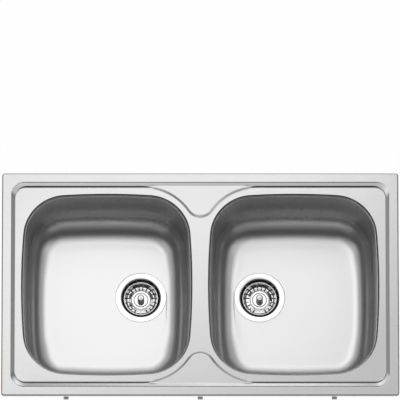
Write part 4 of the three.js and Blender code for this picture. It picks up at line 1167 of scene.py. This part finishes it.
def make_floor():
    """A wide pale floor at the sink's lowest point. To the camera and in reflections part of its
    white is its own, so it stays pale, and the sink's shadow shows in the rest."""
    low = cad_box[0][2]
    size = 40.0
    corners = np.array(((-size, -size), (size, -size), (size, size), (-size, size))) / MM
    points = np.concatenate((corners, np.full((4, 1), low / MM)), axis=1)
    mesh = mesh_of("floor", points, np.array([[0, 1, 2, 3]]))
    floor = add_object("floor", mesh)
    material, tree = new_material("pale floor")
    tree.nodes.clear()
    rays = tree.nodes.new("ShaderNodeLightPath").outputs
    seen = rays["Is Camera Ray"]
    for ray in ("Is Glossy Ray", "Is Transmission Ray"):
        seen = node(tree, "Math", {0: seen, 1: rays[ray]}, operation="MAXIMUM")
    share = node(tree, "Math", {0: seen, 1: 0.97}, operation="MULTIPLY")
    paint = node(tree, "BsdfDiffuse", {"Color": (0.9, 0.9, 0.9, 1)})
    glow = node(tree, "Emission", {"Color": (1, 1, 1, 1)})
    mix = node(tree, "MixShader", {0: share, 1: paint, 2: glow})
    feed(tree, tree.nodes.new("ShaderNodeOutputMaterial"), {"Surface": mix})
    mesh.materials.append(material)


SKY_HEIGHT = 2.0
SKY_CORNER = np.array((-0.4, 0.32))
SKY_TURN = -31.0
SKY_LEVEL = 1.42
# reach to the front right, to the back left, to the two sides, and the share of the light
SKY_SHEETS = (
    (0.04, 0.66, -0.25, 1.15, 0.23),
    (0.26, 0.70, -0.30, 1.16, 0.17),
    (0.50, 0.74, -0.36, 1.18, 0.05),
    (1.02, 0.78, -0.42, 1.20, 0.38),
    (1.25, 0.82, -0.50, 1.24, 0.12),
)


def lamp(name, level, size, place, lean=0.0, turn=0.0, shown=True):
    """A rectangular lamp of even brightness, leant and turned by degrees: level is what a white
    mirror would show of it."""
    data = bpy.data.lights.new(name, "AREA")
    data.shape = "RECTANGLE"
    data.size, data.size_y = size
    data.energy = level * math.pi * size[0] * size[1]
    box = add_object(name, data)
    box.location = place
    box.rotation_euler = (math.radians(lean), 0, math.radians(turn))
    box.visible_glossy = shown


def make_light():
    """A wide overhead soft box that is brightest behind and to the left, made of sheets of light
    of growing size, low side panels, two fills that reflections leave out, and a dim studio."""
    world = bpy.data.worlds.new("studio")
    bpy.context.scene.world = world
    world.use_nodes = True
    background = world.node_tree.nodes["Background"]
    background.inputs["Color"].default_value = (0.03, 0.03, 0.03, 1)
    heading = math.radians(SKY_TURN)
    ahead = np.array((-math.sin(heading), -math.cos(heading)))
    aside = np.array((math.cos(heading), -math.sin(heading)))
    for number, (front, back, low, high, share) in enumerate(SKY_SHEETS, 1):
        middle = SKY_CORNER + ahead * (front - back) / 2 + aside * (low + high) / 2
        lamp(f"soft box sheet {number}", SKY_LEVEL * share, (high - low, front + back),
             (*middle, SKY_HEIGHT + 0.01 * number), turn=-SKY_TURN)
    lamp("rear soft box", 0.60, (2.6, 0.9), (0.1, 1.8, SKY_HEIGHT))
    lamp("back panel", 0.7, (5.0, 1.6), (0, 3.2, 0.6), 90, 180)
    lamp("front panel", 0.15, (5.0, 1.2), (0, -3.2, 1.15), 90)
    for name, side in SIDES:
        lamp(f"{name} wing", 0.37, (1.2, 2.2), (side * 1.75, 0.6, SKY_HEIGHT))
        lamp(f"{name} front wing", 0.34, (1.0, 1.0), (side * 1.3, -0.4, SKY_HEIGHT - 0.02))
        lamp(f"{name} panel", 0.05, (4.0, 1.6), (side * 3.2, 0, 0.6), 90, side * 90)
        lamp(f"{name} front corner panel", 0.15, (2.4, 1.4), (side * 2.6, -2.6, 1.05), 90,
             side * 45)
        lamp(f"{name} back corner panel", 0.20, (2.4, 1.4), (side * 2.6, 2.6, 1.05), 90,
             side * 135)
    lamp("front fill", 0.6, (5.0, 2.0), (0, -3.2, 0.6), 90, shown=False)
    lamp("top fill", 1.2, (4.0, 4.0), (0, 0, 2.6), shown=False)


make_sink()
make_camera()
make_floor()
make_light()

bpy.context.scene.view_settings.view_transform = "Standard"
